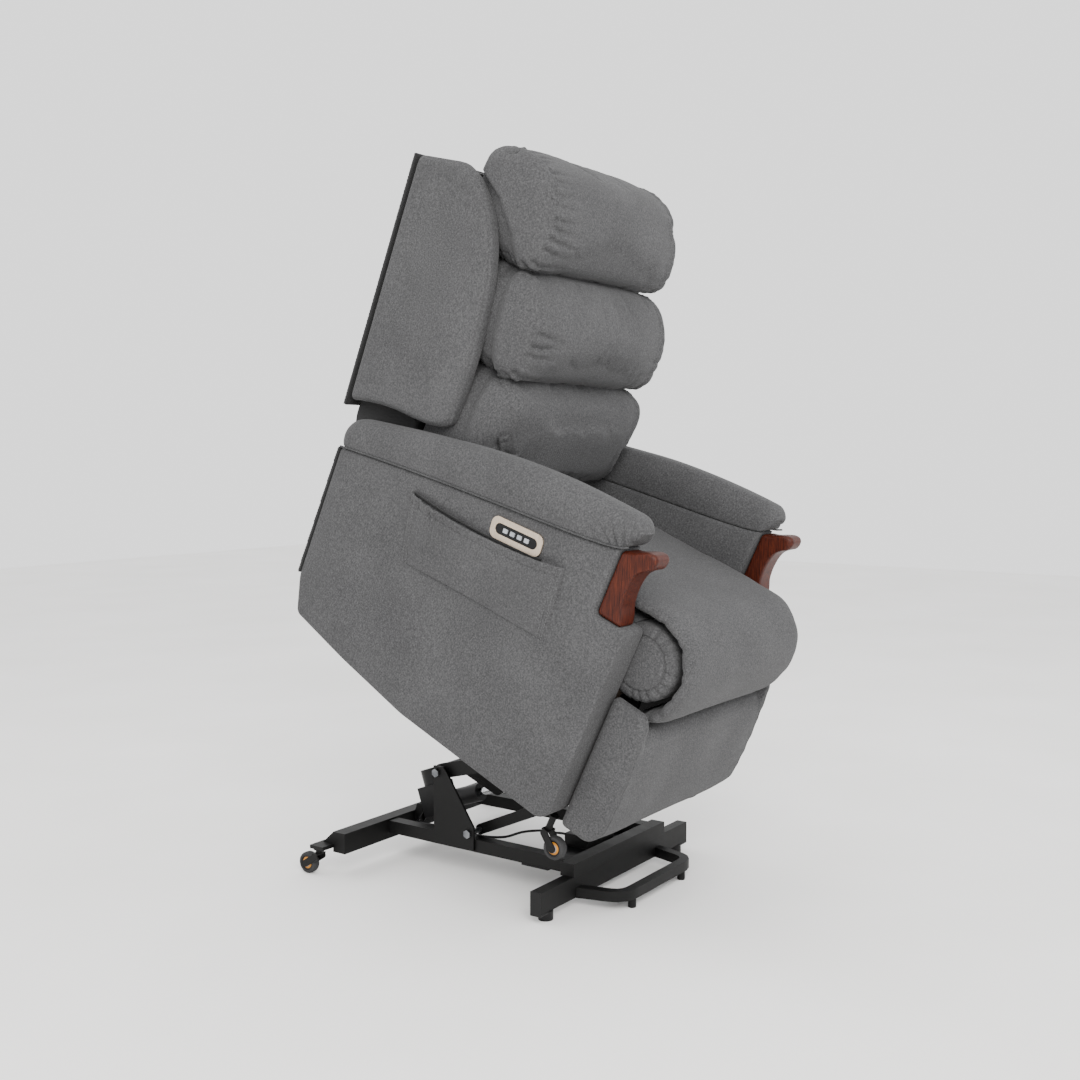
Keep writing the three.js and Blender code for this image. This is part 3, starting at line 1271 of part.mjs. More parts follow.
// Pivot points, angles and travels of the moving pieces, from the same origin
const placed = ({ y, z }) => [0, y - origin.y, z - origin.z];
liftChair.userData.motion = {
  origin: origin.toArray(),
  raisedTilt: raisedTilt / degree,
  lowerPivot: placed(lowerPivot),
  lowerSwing: (lowerRaised - lowerSeated) / degree,
  bodyPivot: placed(lowerEnd),
  upperPivot: placed(upperPivot),
  upperSwing: (upperRaised - upperSeated) / degree,
  motorPivot: placed(liftMotor),
  motorSwing: (motorRaised - motorSeated) / degree,
  rodAxis: [0, -Math.cos(motorRaised), Math.sin(motorRaised)],
  rodTravel: rodRaised - rodSeated,
  backHinge: placed(inRaisedBody(backHinge)),
  legArm: placed(inRaisedBody(legArm)),
  legLink: placed(inRaisedBody(foldedArmEnd)),
  legBoard: placed(inRaisedBody({ y: legLink.boardY, z: legLink.boardZ })),
};

export default liftChair;
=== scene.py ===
"""Looks of a powered lift recliner chair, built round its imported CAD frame."""
import json
import math

import bpy
import bmesh
import numpy as np
from mathutils import Euler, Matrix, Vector

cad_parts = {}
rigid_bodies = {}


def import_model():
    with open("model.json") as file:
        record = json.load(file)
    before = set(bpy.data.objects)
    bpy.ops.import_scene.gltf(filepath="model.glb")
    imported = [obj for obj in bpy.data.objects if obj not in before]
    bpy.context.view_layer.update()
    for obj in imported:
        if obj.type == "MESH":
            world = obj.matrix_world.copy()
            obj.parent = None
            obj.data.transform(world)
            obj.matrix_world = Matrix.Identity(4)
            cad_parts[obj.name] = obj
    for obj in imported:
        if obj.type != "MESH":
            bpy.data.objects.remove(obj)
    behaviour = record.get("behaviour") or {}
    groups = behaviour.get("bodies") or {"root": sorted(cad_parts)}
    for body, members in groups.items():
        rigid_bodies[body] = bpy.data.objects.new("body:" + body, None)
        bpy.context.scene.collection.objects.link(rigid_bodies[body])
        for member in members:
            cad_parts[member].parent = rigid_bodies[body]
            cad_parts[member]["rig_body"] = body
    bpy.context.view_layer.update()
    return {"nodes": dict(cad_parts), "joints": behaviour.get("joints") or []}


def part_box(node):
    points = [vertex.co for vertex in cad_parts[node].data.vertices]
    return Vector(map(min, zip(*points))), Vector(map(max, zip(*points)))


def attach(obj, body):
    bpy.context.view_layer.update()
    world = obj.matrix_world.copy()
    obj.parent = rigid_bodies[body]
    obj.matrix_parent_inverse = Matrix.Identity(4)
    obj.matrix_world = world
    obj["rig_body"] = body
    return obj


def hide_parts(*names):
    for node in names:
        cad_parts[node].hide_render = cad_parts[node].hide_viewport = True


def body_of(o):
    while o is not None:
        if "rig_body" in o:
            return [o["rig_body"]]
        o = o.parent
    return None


bl_info = {
    "name": "Lift recliner chair",
    "version": (1, 0, 0),
    "blender": (4, 5, 0),
    "location": "View3D > Sidebar > Lift chair",
    "description": "Builds the cushions, covers, steelwork and finishes of a powered lift recliner chair",
    "category": "Object",
}

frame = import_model()
SIDES = (("right", -1), ("left", 1))
RAISED_TILT = math.radians(25)


def joint_spot(name):
    """A joint's place in the row frame, in millimetres."""
    spot = next(joint["pos_m"] for joint in frame["joints"] if joint["name"] == name)
    return np.array(spot) * 1000


# The chair's own frame in millimetres: y from the front edge of the arms, z from their lower edge.
# It is found from the pivot that the chair tilts about, so that it follows the CAD.
PIVOT_Y, PIVOT_Z = 30, 32
TILT_COS, TILT_SIN = math.cos(RAISED_TILT), math.sin(RAISED_TILT)
CHAIR_Y = joint_spot("seat_tilt")[1] - (PIVOT_Y * TILT_COS - PIVOT_Z * TILT_SIN)
CHAIR_Z = joint_spot("seat_tilt")[2] - (PIVOT_Y * TILT_SIN + PIVOT_Z * TILT_COS)

# Sizes that several pieces share, in the chair's frame and in millimetres
ARM_FRONT, ARM_DEPTH = 24, 829
ARM_INNER, ARM_OUTER = 255, 335
SEAM_FRONT, SEAM_TOP, SEAM_DROP = 80, 591, 143
NOTCH_DEPTH, NOTCH_LOW = 100.4, 435
PILLOW_HALF = 252
ROLL_Y, ROLL_Z, ROLL_RADIUS = 11, 366, 84
CHAISE_THICK, CHAISE_GAP = 27, 4
POCKET_REAR_TOP, POCKET_FRONT_TOP = (602, 450), (192, 485)
POCKET_REAR_FOOT, POCKET_FRONT_FOOT = (570, 304), (175, 332)
POCKET_SAG = 15


def from_chair(points):
    """Points of the chair's own frame, in millimetres, as row-frame metres."""
    p = np.asarray(points, dtype=float)
    x, y, z = p[..., 0], p[..., 1], p[..., 2]
    return np.stack([x, CHAIR_Y + y * TILT_COS - z * TILT_SIN, CHAIR_Z + y * TILT_SIN + z * TILT_COS],
                    axis=-1) / 1000


# ---------------------------------------------------------------- materials

# A wave texture's scale counts bands per turn of this many units
WAVE_TURN = 6.2832


def linear(hex_value):
    """An sRGB hex colour as linear RGBA."""
    channels = [((hex_value >> shift) & 255) / 255 for shift in (16, 8, 0)]
    return tuple(c / 12.92 if c <= 0.04045 else ((c + 0.055) / 1.055) ** 2.4 for c in channels) + (1,)


def add_node(tree, kind, links=None, stops=(), **settings):
    """Adds a node, sets its properties, sockets and ramp stops of (position, hex), and links it.

    The stops are given first, last, then those between."""
    node = tree.nodes.new(kind)
    for key, value in settings.items():
        if hasattr(node, key):
            setattr(node, key, value)
        else:
            node.inputs[key.replace("_", " ")].default_value = value
    for element, (position, colour) in zip([*node.color_ramp.elements] if stops else (), stops):
        element.position = position
        element.color = linear(colour)
    for position, colour in stops[2:]:
        node.color_ramp.elements.new(position).color = linear(colour)
    for socket, source in (links or {}).items():
        tree.links.new(source, node.inputs[socket])
    return node


def new_material(name):
    material = bpy.data.materials.new(name)
    material.use_nodes = True
    tree = material.node_tree
    tree.nodes.clear()
    shader = add_node(tree, "ShaderNodeBsdfPrincipled")
    add_node(tree, "ShaderNodeOutputMaterial", {"Surface": shader.outputs[0]})
    return material, tree, shader


def melange_cloth(name, dark, middle, light, bump_mm=0.5):
    """Woven melange upholstery cloth: grey yarns of mixed tone in 2 to 4 mm flecks, matt, with a
    soft nap that catches light at grazing angles. Its yarns are drawn 2 mm wide to show."""
    material, tree, shader = new_material(name)
    place = add_node(tree, "ShaderNodeTexCoord").outputs["Object"]
    yarn = add_node(tree, "ShaderNodeTexNoise", {"Vector": place}, Scale=1 / 0.0020, Detail=2.0,
                    Roughness=0.6)
    clump = add_node(tree, "ShaderNodeTexNoise", {"Vector": place}, Scale=1 / 0.0036, Detail=1.0,
                     Roughness=0.5)
    wear = add_node(tree, "ShaderNodeTexNoise", {"Vector": place}, Scale=1 / 0.12, Detail=1.0)
    mixed = add_node(tree, "ShaderNodeMath", {0: yarn.outputs["Fac"], 1: clump.outputs["Fac"]},
                     operation="ADD")
    shaded = add_node(tree, "ShaderNodeMath", {0: wear.outputs["Fac"], 2: mixed.outputs[0]},
                      operation="MULTIPLY_ADD")
    shaded.inputs[1].default_value = 0.3
    tone = add_node(tree, "ShaderNodeMapRange", {"Value": shaded.outputs[0]})
    tone.inputs["From Min"].default_value = 0.80
    tone.inputs["From Max"].default_value = 1.50
    colour = add_node(tree, "ShaderNodeValToRGB", {"Fac": tone.outputs[0]},
                      [(0.0, dark), (1.0, light), (0.5, middle)]).outputs["Color"]
    tree.links.new(colour, shader.inputs["Base Color"])
    warp, weft = (add_node(tree, "ShaderNodeTexWave", {"Vector": place}, bands_direction=direction,
                           Scale=1 / 0.002 / WAVE_TURN, Distortion=1.2, Detail=1.0)
                  for direction in ("X", "DIAGONAL"))
    weave = add_node(tree, "ShaderNodeMath", {0: warp.outputs["Fac"], 1: weft.outputs["Fac"]},
                     operation="MULTIPLY")
    height = add_node(tree, "ShaderNodeMath", {0: weave.outputs[0], 1: yarn.outputs["Fac"]}, operation="ADD")
    bump = add_node(tree, "ShaderNodeBump", {"Height": height.outputs[0]}, Strength=0.4,
                    Distance=bump_mm / 1000)
    tree.links.new(bump.outputs[0], shader.inputs["Normal"])
    shader.inputs["Roughness"].default_value = 0.93
    shader.inputs["Specular IOR Level"].default_value = 0.1
    shader.inputs["Sheen Weight"].default_value = 0.06
    shader.inputs["Sheen Roughness"].default_value = 0.5
    return material


def plain_cloth(name, dark, light, thread_mm):
    """Thin woven dust cloth: plain threads, matt, slightly dusty."""
    material, tree, shader = new_material(name)
    place = add_node(tree, "ShaderNodeTexCoord").outputs["Object"]
    warp, weft = (add_node(tree, "ShaderNodeTexWave", {"Vector": place}, bands_direction=direction,
                           Scale=1000 / thread_mm / WAVE_TURN, Distortion=0.6)
                  for direction in ("X", "Z"))
    weave = add_node(tree, "ShaderNodeMath", {0: warp.outputs["Fac"], 1: weft.outputs["Fac"]},
                     operation="MULTIPLY")
    dust = add_node(tree, "ShaderNodeTexNoise", {"Vector": place}, Scale=1 / 0.05, Detail=4.0)
    mixed = add_node(tree, "ShaderNodeMath", {0: weave.outputs[0], 1: dust.outputs["Fac"]}, operation="ADD")
    colour = add_node(tree, "ShaderNodeValToRGB", {"Fac": mixed.outputs[0]},
                      [(0.2, dark), (1.0, light)]).outputs["Color"]
    tree.links.new(colour, shader.inputs["Base Color"])
    bump = add_node(tree, "ShaderNodeBump", {"Height": weave.outputs[0]}, Strength=0.4, Distance=0.0003)
    tree.links.new(bump.outputs[0], shader.inputs["Normal"])
    shader.inputs["Roughness"].default_value = 0.9
    shader.inputs["Sheen Weight"].default_value = 0.1
    return material


def powder_coat(name, dark, light):
    """Powder-coated steel: black, fine orange peel of 0.8 mm drawn at 2 mm, softly glossy, with
    faint rubbed patches."""
    material, tree, shader = new_material(name)
    place = add_node(tree, "ShaderNodeTexCoord").outputs["Object"]
    peel = add_node(tree, "ShaderNodeTexNoise", {"Vector": place}, Scale=1 / 0.002, Detail=2.0)
    rub = add_node(tree, "ShaderNodeTexNoise", {"Vector": place}, Scale=1 / 0.035, Detail=5.0, Roughness=0.7)
    colour = add_node(tree, "ShaderNodeValToRGB", {"Fac": rub.outputs["Fac"]},
                      [(0.4, dark), (0.75, light)]).outputs["Color"]
    tree.links.new(colour, shader.inputs["Base Color"])
    gloss = add_node(tree, "ShaderNodeMapRange", {"Value": rub.outputs["Fac"]})
    gloss.inputs["To Min"].default_value = 0.45
    gloss.inputs["To Max"].default_value = 0.65
    tree.links.new(gloss.outputs[0], shader.inputs["Roughness"])
    bump = add_node(tree, "ShaderNodeBump", {"Height": peel.outputs["Fac"]}, Strength=0.25, Distance=0.0002)
    tree.links.new(bump.outputs[0], shader.inputs["Normal"])
    shader.inputs["Specular IOR Level"].default_value = 0.22
    return material


def turned_metal(name, dark, light, roughness, line_mm=0.9, axis="X"):
    """Machined or brushed metal: fine parallel lines from the tool, bright, lightly smudged."""
    material, tree, shader = new_material(name)
    place = add_node(tree, "ShaderNodeTexCoord").outputs["Object"]
    stretch = add_node(tree, "ShaderNodeMapping", {"Vector": place})
    stretch.inputs["Scale"].default_value = (1, 0.03, 0.03) if axis == "X" else (0.03, 1, 0.03)
    lines = add_node(tree, "ShaderNodeTexNoise", {"Vector": stretch.outputs[0]}, Scale=1000 / line_mm,
                     Detail=2.0)
    smudge = add_node(tree, "ShaderNodeTexNoise", {"Vector": place}, Scale=1 / 0.02, Detail=3.0)
    colour = add_node(tree, "ShaderNodeValToRGB", {"Fac": lines.outputs["Fac"]},
                      [(0.3, dark), (0.7, light)]).outputs["Color"]
    tree.links.new(colour, shader.inputs["Base Color"])
    gloss = add_node(tree, "ShaderNodeMapRange", {"Value": smudge.outputs["Fac"]})
    gloss.inputs["To Min"].default_value = roughness * 0.8
    gloss.inputs["To Max"].default_value = roughness * 1.3
    tree.links.new(gloss.outputs[0], shader.inputs["Roughness"])
    bump = add_node(tree, "ShaderNodeBump", {"Height": lines.outputs["Fac"]}, Strength=0.15, Distance=0.0001)
    tree.links.new(bump.outputs[0], shader.inputs["Normal"])
    shader.inputs["Metallic"].default_value = 1.0
    return material


def grained_wood(name, dark, middle, light, ring_mm, coat, along="Z"):
    """Straight-grained wood: long pores and rings drawn out along the grain, under lacquer."""
    material, tree, shader = new_material(name)
    place = add_node(tree, "ShaderNodeTexCoord").outputs["Object"]
    stretch = add_node(tree, "ShaderNodeMapping", {"Vector": place})
    stretch.inputs["Rotation"].default_value = (-RAISED_TILT, 0, 0)
    stretch.inputs["Scale"].default_value = (1, 1, 0.07) if along == "Z" else (1, 0.07, 1)
    rings = add_node(tree, "ShaderNodeTexNoise", {"Vector": stretch.outputs[0]}, Scale=1000 / ring_mm,
                     Detail=4.0, Roughness=0.65)
    pores = add_node(tree, "ShaderNodeTexNoise", {"Vector": stretch.outputs[0]}, Scale=1000 / 1.3, Detail=1.0)
    mixed = add_node(tree, "ShaderNodeMath", {0: pores.outputs["Fac"], 2: rings.outputs["Fac"]},
                     operation="MULTIPLY_ADD")
    mixed.inputs[1].default_value = 0.25
    colour = add_node(tree, "ShaderNodeValToRGB", {"Fac": mixed.outputs[0]},
                      [(0.40, dark), (0.80, light), (0.58, middle)]).outputs["Color"]
    tree.links.new(colour, shader.inputs["Base Color"])
    bump = add_node(tree, "ShaderNodeBump", {"Height": pores.outputs["Fac"]}, Strength=0.12, Distance=0.0002)
    tree.links.new(bump.outputs[0], shader.inputs["Normal"])
    shader.inputs["Roughness"].default_value = 0.5 if coat else 0.7
    shader.inputs["Coat Weight"].default_value = 0.06 if coat else 0.0
    shader.inputs["Coat Roughness"].default_value = 0.3
    shader.inputs["Specular IOR Level"].default_value = 0.16
    return material


def moulded_plastic(name, dark, light, roughness, grain_mm=1.2):
    """Injection-moulded plastic: a fine spark-eroded grain, even colour, soft highlight."""
    material, tree, shader = new_material(name)
    place = add_node(tree, "ShaderNodeTexCoord").outputs["Object"]
    grain = add_node(tree, "ShaderNodeTexVoronoi", {"Vector": place}, Scale=1000 / grain_mm)
    tone = add_node(tree, "ShaderNodeTexNoise", {"Vector": place}, Scale=1 / 0.03, Detail=3.0)
    colour = add_node(tree, "ShaderNodeValToRGB", {"Fac": tone.outputs["Fac"]},
                      [(0.35, dark), (0.7, light)]).outputs["Color"]
    tree.links.new(colour, shader.inputs["Base Color"])
    gloss = add_node(tree, "ShaderNodeMapRange", {"Value": tone.outputs["Fac"]})
    gloss.inputs["To Min"].default_value = roughness * 0.85
    gloss.inputs["To Max"].default_value = roughness * 1.15
    tree.links.new(gloss.outputs[0], shader.inputs["Roughness"])
    bump = add_node(tree, "ShaderNodeBump", {"Height": grain.outputs["Distance"]}, Strength=0.2,
                    Distance=0.0001)
    tree.links.new(bump.outputs[0], shader.inputs["Normal"])
    shader.inputs["Specular IOR Level"].default_value = 0.25
    return material


FINISHES = {}


def finish(name):
    """The material of that name, made on first use."""
    makers = {
        "cloth": lambda: melange_cloth("grey_melange_cloth", 0x353536, 0x434344, 0x535354),
        # black_cloth is the real black dust cloth of the covers, and also colours the pocket-mouth cord,
        # which is painted shadow.
        "black_cloth": lambda: plain_cloth("black_dust_cloth_and_painted_shadow", 0x070708, 0x131314, 1.6),
        "steel": lambda: powder_coat("black_powder_coated_steel", 0x030303, 0x0a0a0a),
        "zinc": lambda: turned_metal("zinc_plated_steel", 0x55575a, 0x8b8d90, 0.36),
        "rod": lambda: turned_metal("ground_steel_rod", 0x9b9da0, 0xdfe0e2, 0.18, 0.7, "Y"),
        "champagne": lambda: turned_metal("champagne_anodised_aluminium", 0xb4a391, 0xd9cab8, 0.42, 0.6, "Y"),
        "mahogany": lambda: grained_wood("mahogany_stained_beech", 0x1b0803, 0x35120a, 0x4e2010, 2.2, True),
        # The plywood's near-black colour is painted shade: the seat frame and deck sit in deep shadow under
        # the seat.
        "ply": lambda: grained_wood("plywood_darkened_as_painted_shade", 0x16110e, 0x241c17, 0x33291f, 14, False, "Y"),
        "black_plastic": lambda: moulded_plastic("black_abs_plastic", 0x050506, 0x0d0d0e, 0.45),
        "grey_plastic": lambda: moulded_plastic("grey_abs_plastic", 0x77797c, 0x8f9194, 0.45),
        "key_plastic": lambda: moulded_plastic("pale_grey_key_plastic", 0x8b8e93, 0xaaadb2, 0.35, 0.6),
        "tread": lambda: moulded_plastic("grey_black_tread_rubber", 0x242425, 0x333334, 0.75, 1.6),
        "hub": lambda: moulded_plastic("amber_nylon_hub", 0x9a6218, 0xc4852b, 0.4),
        "rubber": lambda: moulded_plastic("black_foot_rubber", 0x0e0e0e, 0x1c1c1c, 0.8, 1.8),
        "thread": lambda: plain_cloth("grey_sewing_thread", 0x3c3c3d, 0x5a5a5b, 0.8),
        "piping": lambda: melange_cloth("grey_welt_cord", 0x303031, 0x3e3e3f, 0x4e4e4f, 0.3),
    }
    if name not in FINISHES:
        FINISHES[name] = makers[name]()
    return FINISHES[name]


# ---------------------------------------------------------------- mesh helpers

def piece_of(name, points, faces, look, smooth=True):
    """A mesh object at the origin from row-frame metres and faces."""
    mesh = bpy.data.meshes.new(name)
    mesh.from_pydata([tuple(p) for p in np.asarray(points).tolist()], [], faces)
    mesh.validate()
    mesh.update()
    mesh.polygons.foreach_set("use_smooth", [smooth] * len(mesh.polygons))
    mesh.materials.append(finish(look))
    item = bpy.data.objects.new(name, mesh)
    bpy.context.scene.collection.objects.link(item)
    return item


# Large odd numbers that turn a lattice cell and a seed into an even spread of values
HASH_PRIMES = (73856093, 19349663, 83492791)
HASH_SEED, HASH_FACTOR, HASH_STEP = 2654435, 1103515245, 12345


def noise_field(points, size, seed):
    """Smooth value noise in -1..1 at points, with features of the given size."""
    p = np.asarray(points, dtype=float) / size + seed * 17.31
    base = np.floor(p).astype(np.int64)
    f = p - base
    f = f * f * (3 - 2 * f)
    total = np.zeros(p.shape[:-1])
    for corner in range(8):
        offset = np.array([(corner >> k) & 1 for k in range(3)])
        cell = base + offset
        mixed = seed * HASH_SEED
        for axis, prime in enumerate(HASH_PRIMES):
            mixed = mixed ^ (cell[..., axis] * prime)
        value = ((mixed * HASH_FACTOR + HASH_STEP) & 0x7FFFFFFF) / 0x3FFFFFFF - 1
        weight = np.prod(np.where(offset == 1, f, 1 - f), axis=-1)
        total += value * weight
    return total


def smooth_outline(points, count, sharp=False):
    """A closed (y, z) outline resampled to evenly spaced points, rounded by a spline unless sharp."""
    p = np.asarray(points, dtype=float)
    if sharp:
        dense = np.concatenate([a + (b - a) * np.linspace(0, 1, 40, endpoint=False)[:, None]
                                for a, b in zip(p, np.roll(p, -1, axis=0))])
    else:
        rows = []
        for i in range(len(p)):
            a, b, c, d = (p[(i + k) % len(p)] for k in (-1, 0, 1, 2))
            t = np.linspace(0, 1, 40, endpoint=False)[:, None]
            rows.append(0.5 * (2 * b + (c - a) * t + (2 * a - 5 * b + 4 * c - d) * t ** 2
                               + (3 * b - a - 3 * c + d) * t ** 3))
        dense = np.concatenate(rows)
    closed = np.vstack([dense, dense[:1]])
    length = np.concatenate([[0], np.cumsum(np.hypot(*np.diff(closed, axis=0).T))])
    at = np.linspace(0, length[-1], count, endpoint=False)
    return np.stack([np.interp(at, length, closed[:, k]) for k in (0, 1)], axis=-1)


def rounded_corners(points, radius, steps=6):
    """A sharp (y, z) outline with each corner cut round to about that radius."""
    p = [np.array(q, dtype=float) for q in points]
    result = []
    for i, q in enumerate(p):
        before, after = p[i - 1] - q, p[(i + 1) % len(p)] - q
        reach = min(radius, 0.45 * np.hypot(*before), 0.45 * np.hypot(*after))
        a, b = q + before / np.hypot(*before) * reach, q + after / np.hypot(*after) * reach
        for t in np.linspace(0, 1, steps):
            result.append((1 - t) ** 2 * a + 2 * t * (1 - t) * q + t * t * b)
    return np.array(result)


def ring_faces(rings, count):
    """Quads between rings, and a fan to one middle point at each end."""
    faces = []
    for r in range(rings - 1):
        for i in range(count):
            j = (i + 1) % count
            faces.append((r * count + i, r * count + j, (r + 1) * count + j, (r + 1) * count + i))
    first, last = rings * count, rings * count + 1
    for i in range(count):
        j = (i + 1) % count
        faces.append((first, j, i))
        faces.append((last, (rings - 1) * count + i, (rings - 1) * count + j))
    return faces


def lofted(ring_at, low, high, edge, step=5.0, face_rows=10, crown=0.0, axis=0, centre=None):
    """Rings of a padded solid between two stations: its ends are rounded by edge and crowned.

    ring_at gives the ring, in chair-frame millimetres, at a station."""
    bends = np.linspace(0, math.pi / 2, 8)
    end = [(edge * (1 - math.sin(b)), edge * (1 - math.cos(b)), 0.0) for b in bends]
    end += [(0.0, edge, q) for q in np.linspace(0, 0.94, face_rows + 1)[1:]]
    straight = max(2, int((high - low - 2 * edge) / step))
    plan = [(low + e, d, q, -1) for e, d, q in reversed(end)]
    plan += [(low + edge + (high - low - 2 * edge) * i / straight, 0.0, 0.0, 0) for i in range(1, straight)]
    plan += [(high - e, d, q, 1) for e, d, q in end]
    rings = []
    for station, inset, q, side in plan:
        ring = np.array(ring_at(station), dtype=float)
        lowest, highest = ring.min(axis=0), ring.max(axis=0)
        middle = (lowest + highest) / 2 if centre is None else np.array(centre, dtype=float)
        if centre is not None:
            middle[axis] = station
        half = np.maximum((highest - lowest) / 2, 1e-6)
        ring = middle + (ring - middle) * np.clip(1 - inset / half, 0.03, 1) * (1 - q)
        ring[:, axis] += side * crown * (1 - (1 - q) ** 2)
        rings.append(ring)
    return np.array(rings)


def soft_piece(name, rings, look):
    """A closed chair-frame loft as a piece."""
    count = rings.shape[1]
    points = np.vstack([rings.reshape(-1, 3), rings[0].mean(axis=0), rings[-1].mean(axis=0)])
    item = piece_of(name, from_chair(points), ring_faces(len(rings), count), look)
    outward(item)
    return item


def across(outline):
    """The ring of a (y, z) outline that is the same at every station along X."""
    return lambda x: np.column_stack([np.full(len(outline), x), outline])


def outward(item):
    """Turns every face of a closed mesh outwards."""
    bm = bmesh.new()
    bm.from_mesh(item.data)
    bmesh.ops.recalc_face_normals(bm, faces=bm.faces)
    bm.to_mesh(item.data)
    bm.free()


def gathers(x, t, seam, count, depth, inward, outward_reach, seed, width=0.35):
    """Depths of sewn pleats that start on a seam line and die away from it.

    x is the distance from the seam's end of the piece, seam where the seam is, t the place round
    the piece in 0..1."""
    random = np.random.default_rng(seed)
    total = np.zeros_like(x)
    pitch = 1 / count
    for k in range(count):
        centre = pitch * (k + 0.5 + random.uniform(-0.28, 0.28))
        lean = random.uniform(-0.25, 0.25) * pitch
        reach = inward * random.uniform(0.55, 1.25)
        deep = depth * random.uniform(0.55, 1.2)
        d = x - seam
        slant = lean * d / max(inward, 1)
        valley = (t - centre - slant) / (pitch * width)
        along = np.where(d > 0, np.exp(-(d / reach) ** 2), np.exp(-(d / outward_reach) ** 2))
        total -= deep * np.exp(-valley ** 2) * along
        ridge = (t - centre - pitch * 0.5 - slant) / (pitch * width)
        total += 0.3 * deep * np.exp(-ridge ** 2) * along
    return total


def groove(distance, width, depth):
    """A sewn groove about a seam line."""
    return -depth * np.exp(-(distance / width) ** 2)


def dressed(item, body, nodes=()):
    """Puts a finished piece on its body, in place of its CAD nodes."""
    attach(item, body)
    if nodes:
        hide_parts(*nodes)
    return item


def bare_mesh(item):
    """The evaluated item as a plain mesh, with its modifiers gone."""
    graph = bpy.context.evaluated_depsgraph_get()
    mesh = bpy.data.meshes.new_from_object(item.evaluated_get(graph))
    item.modifiers.clear()
    old = item.data
    item.data = mesh
    if isinstance(old, bpy.types.Mesh):
        bpy.data.meshes.remove(old)
    return item


def merged_copy(node, name, look, flat_degrees=None):
    """A copy of a CAD node with its corners merged and, if an angle is given, its flat faces joined."""
    mesh = frame["nodes"][node].data.copy()
    mesh.materials.clear()
    bm = bmesh.new()
    bm.from_mesh(mesh)
    bmesh.ops.remove_doubles(bm, verts=bm.verts, dist=2e-5)
    if flat_degrees:
        bmesh.ops.dissolve_limit(bm, angle_limit=math.radians(flat_degrees), verts=bm.verts,
                                 edges=bm.edges)
    bm.to_mesh(mesh)
    bm.free()
    mesh.materials.append(finish(look))
    item = bpy.data.objects.new(name, mesh)
    bpy.context.scene.collection.objects.link(item)
    return item


def refined(node, look, body, bevel_mm=0.8, segments=2):
    """A merged copy of a CAD node with its hard edges broken, in place of the node."""
    item = merged_copy(node, f"{node}_finished", look, 0.6)
    faces = item.data.polygons
    faces.foreach_set("use_smooth", [True] * len(faces))
    edge = item.modifiers.new("broken edges", "BEVEL")
    edge.width = bevel_mm / 1000
    edge.segments = segments
    edge.limit_method = "ANGLE"
    edge.angle_limit = math.radians(32)
    edge.use_clamp_overlap = True
    shade = item.modifiers.new("flat faces", "WEIGHTED_NORMAL")
    shade.keep_sharp = True
    bare_mesh(item)
    return dressed(item, body, (node,))


def turned(name, profile, centre, look, segments=48):
    """A solid of revolution from (along, radius) points, about an X axis through a row-frame point."""
    points, faces = [], []
    count = len(profile)
    for s in range(segments):
        a = 2 * math.pi * s / segments
        points += [(along, radius * math.cos(a), radius * math.sin(a)) for along, radius in profile]
    for s in range(segments):
        n = (s + 1) % segments
        for k in range(count):
            m = (k + 1) % count
            faces.append((s * count + k, n * count + k, n * count + m, s * count + m))
    item = piece_of(name, np.array(points) / 1000 + np.asarray(centre), faces, look)
    outward(item)
    item.data.set_sharp_from_angle(angle=math.radians(40))
    return item


def joined(name, items):
    """Several plain mesh pieces as one, each keeping its material."""
    bm = bmesh.new()
    mesh = bpy.data.meshes.new(name)
    for item in items:
        for material in item.data.materials:
            if material.name not in mesh.materials:
                mesh.materials.append(material)
    for item in items:
        first = len(bm.faces)
        bm.from_mesh(item.data)
        bm.faces.ensure_lookup_table()
        slots = [mesh.materials.find(material.name) for material in item.data.materials]
        for face in bm.faces[first:]:
            face.material_index = slots[min(face.material_index, len(slots) - 1)]
    bm.to_mesh(mesh)
    bm.free()
    for item in items:
        bpy.data.objects.remove(item)
    whole = bpy.data.objects.new(name, mesh)
    bpy.context.scene.collection.objects.link(whole)
    return whole


def tube(name, points, radius_mm, look, segments=12):
    """A round cord along row-frame points, as a mesh."""
    p = np.asarray(points, dtype=float)
    tangent = np.gradient(p, axis=0)
    tangent /= np.linalg.norm(tangent, axis=1, keepdims=True)
    normal = np.cross(tangent[0], (0.0, 0.0, 1.0))
    if np.linalg.norm(normal) < 1e-3:
        normal = np.cross(tangent[0], (1.0, 0.0, 0.0))
    rows = []
    for t, q in zip(tangent, p):
        normal = normal - t * np.dot(normal, t)
        normal /= np.linalg.norm(normal)
        other = np.cross(t, normal)
        a = np.linspace(0, 2 * math.pi, segments, endpoint=False)
        rows.append(q + radius_mm / 1000 * (np.cos(a)[:, None] * normal + np.sin(a)[:, None] * other))
    points = np.concatenate(rows + [p[:1], p[-1:]])
    item = piece_of(name, points, ring_faces(len(p), segments), look)
    outward(item)
    return item


# ---------------------------------------------------------------- geometry nodes

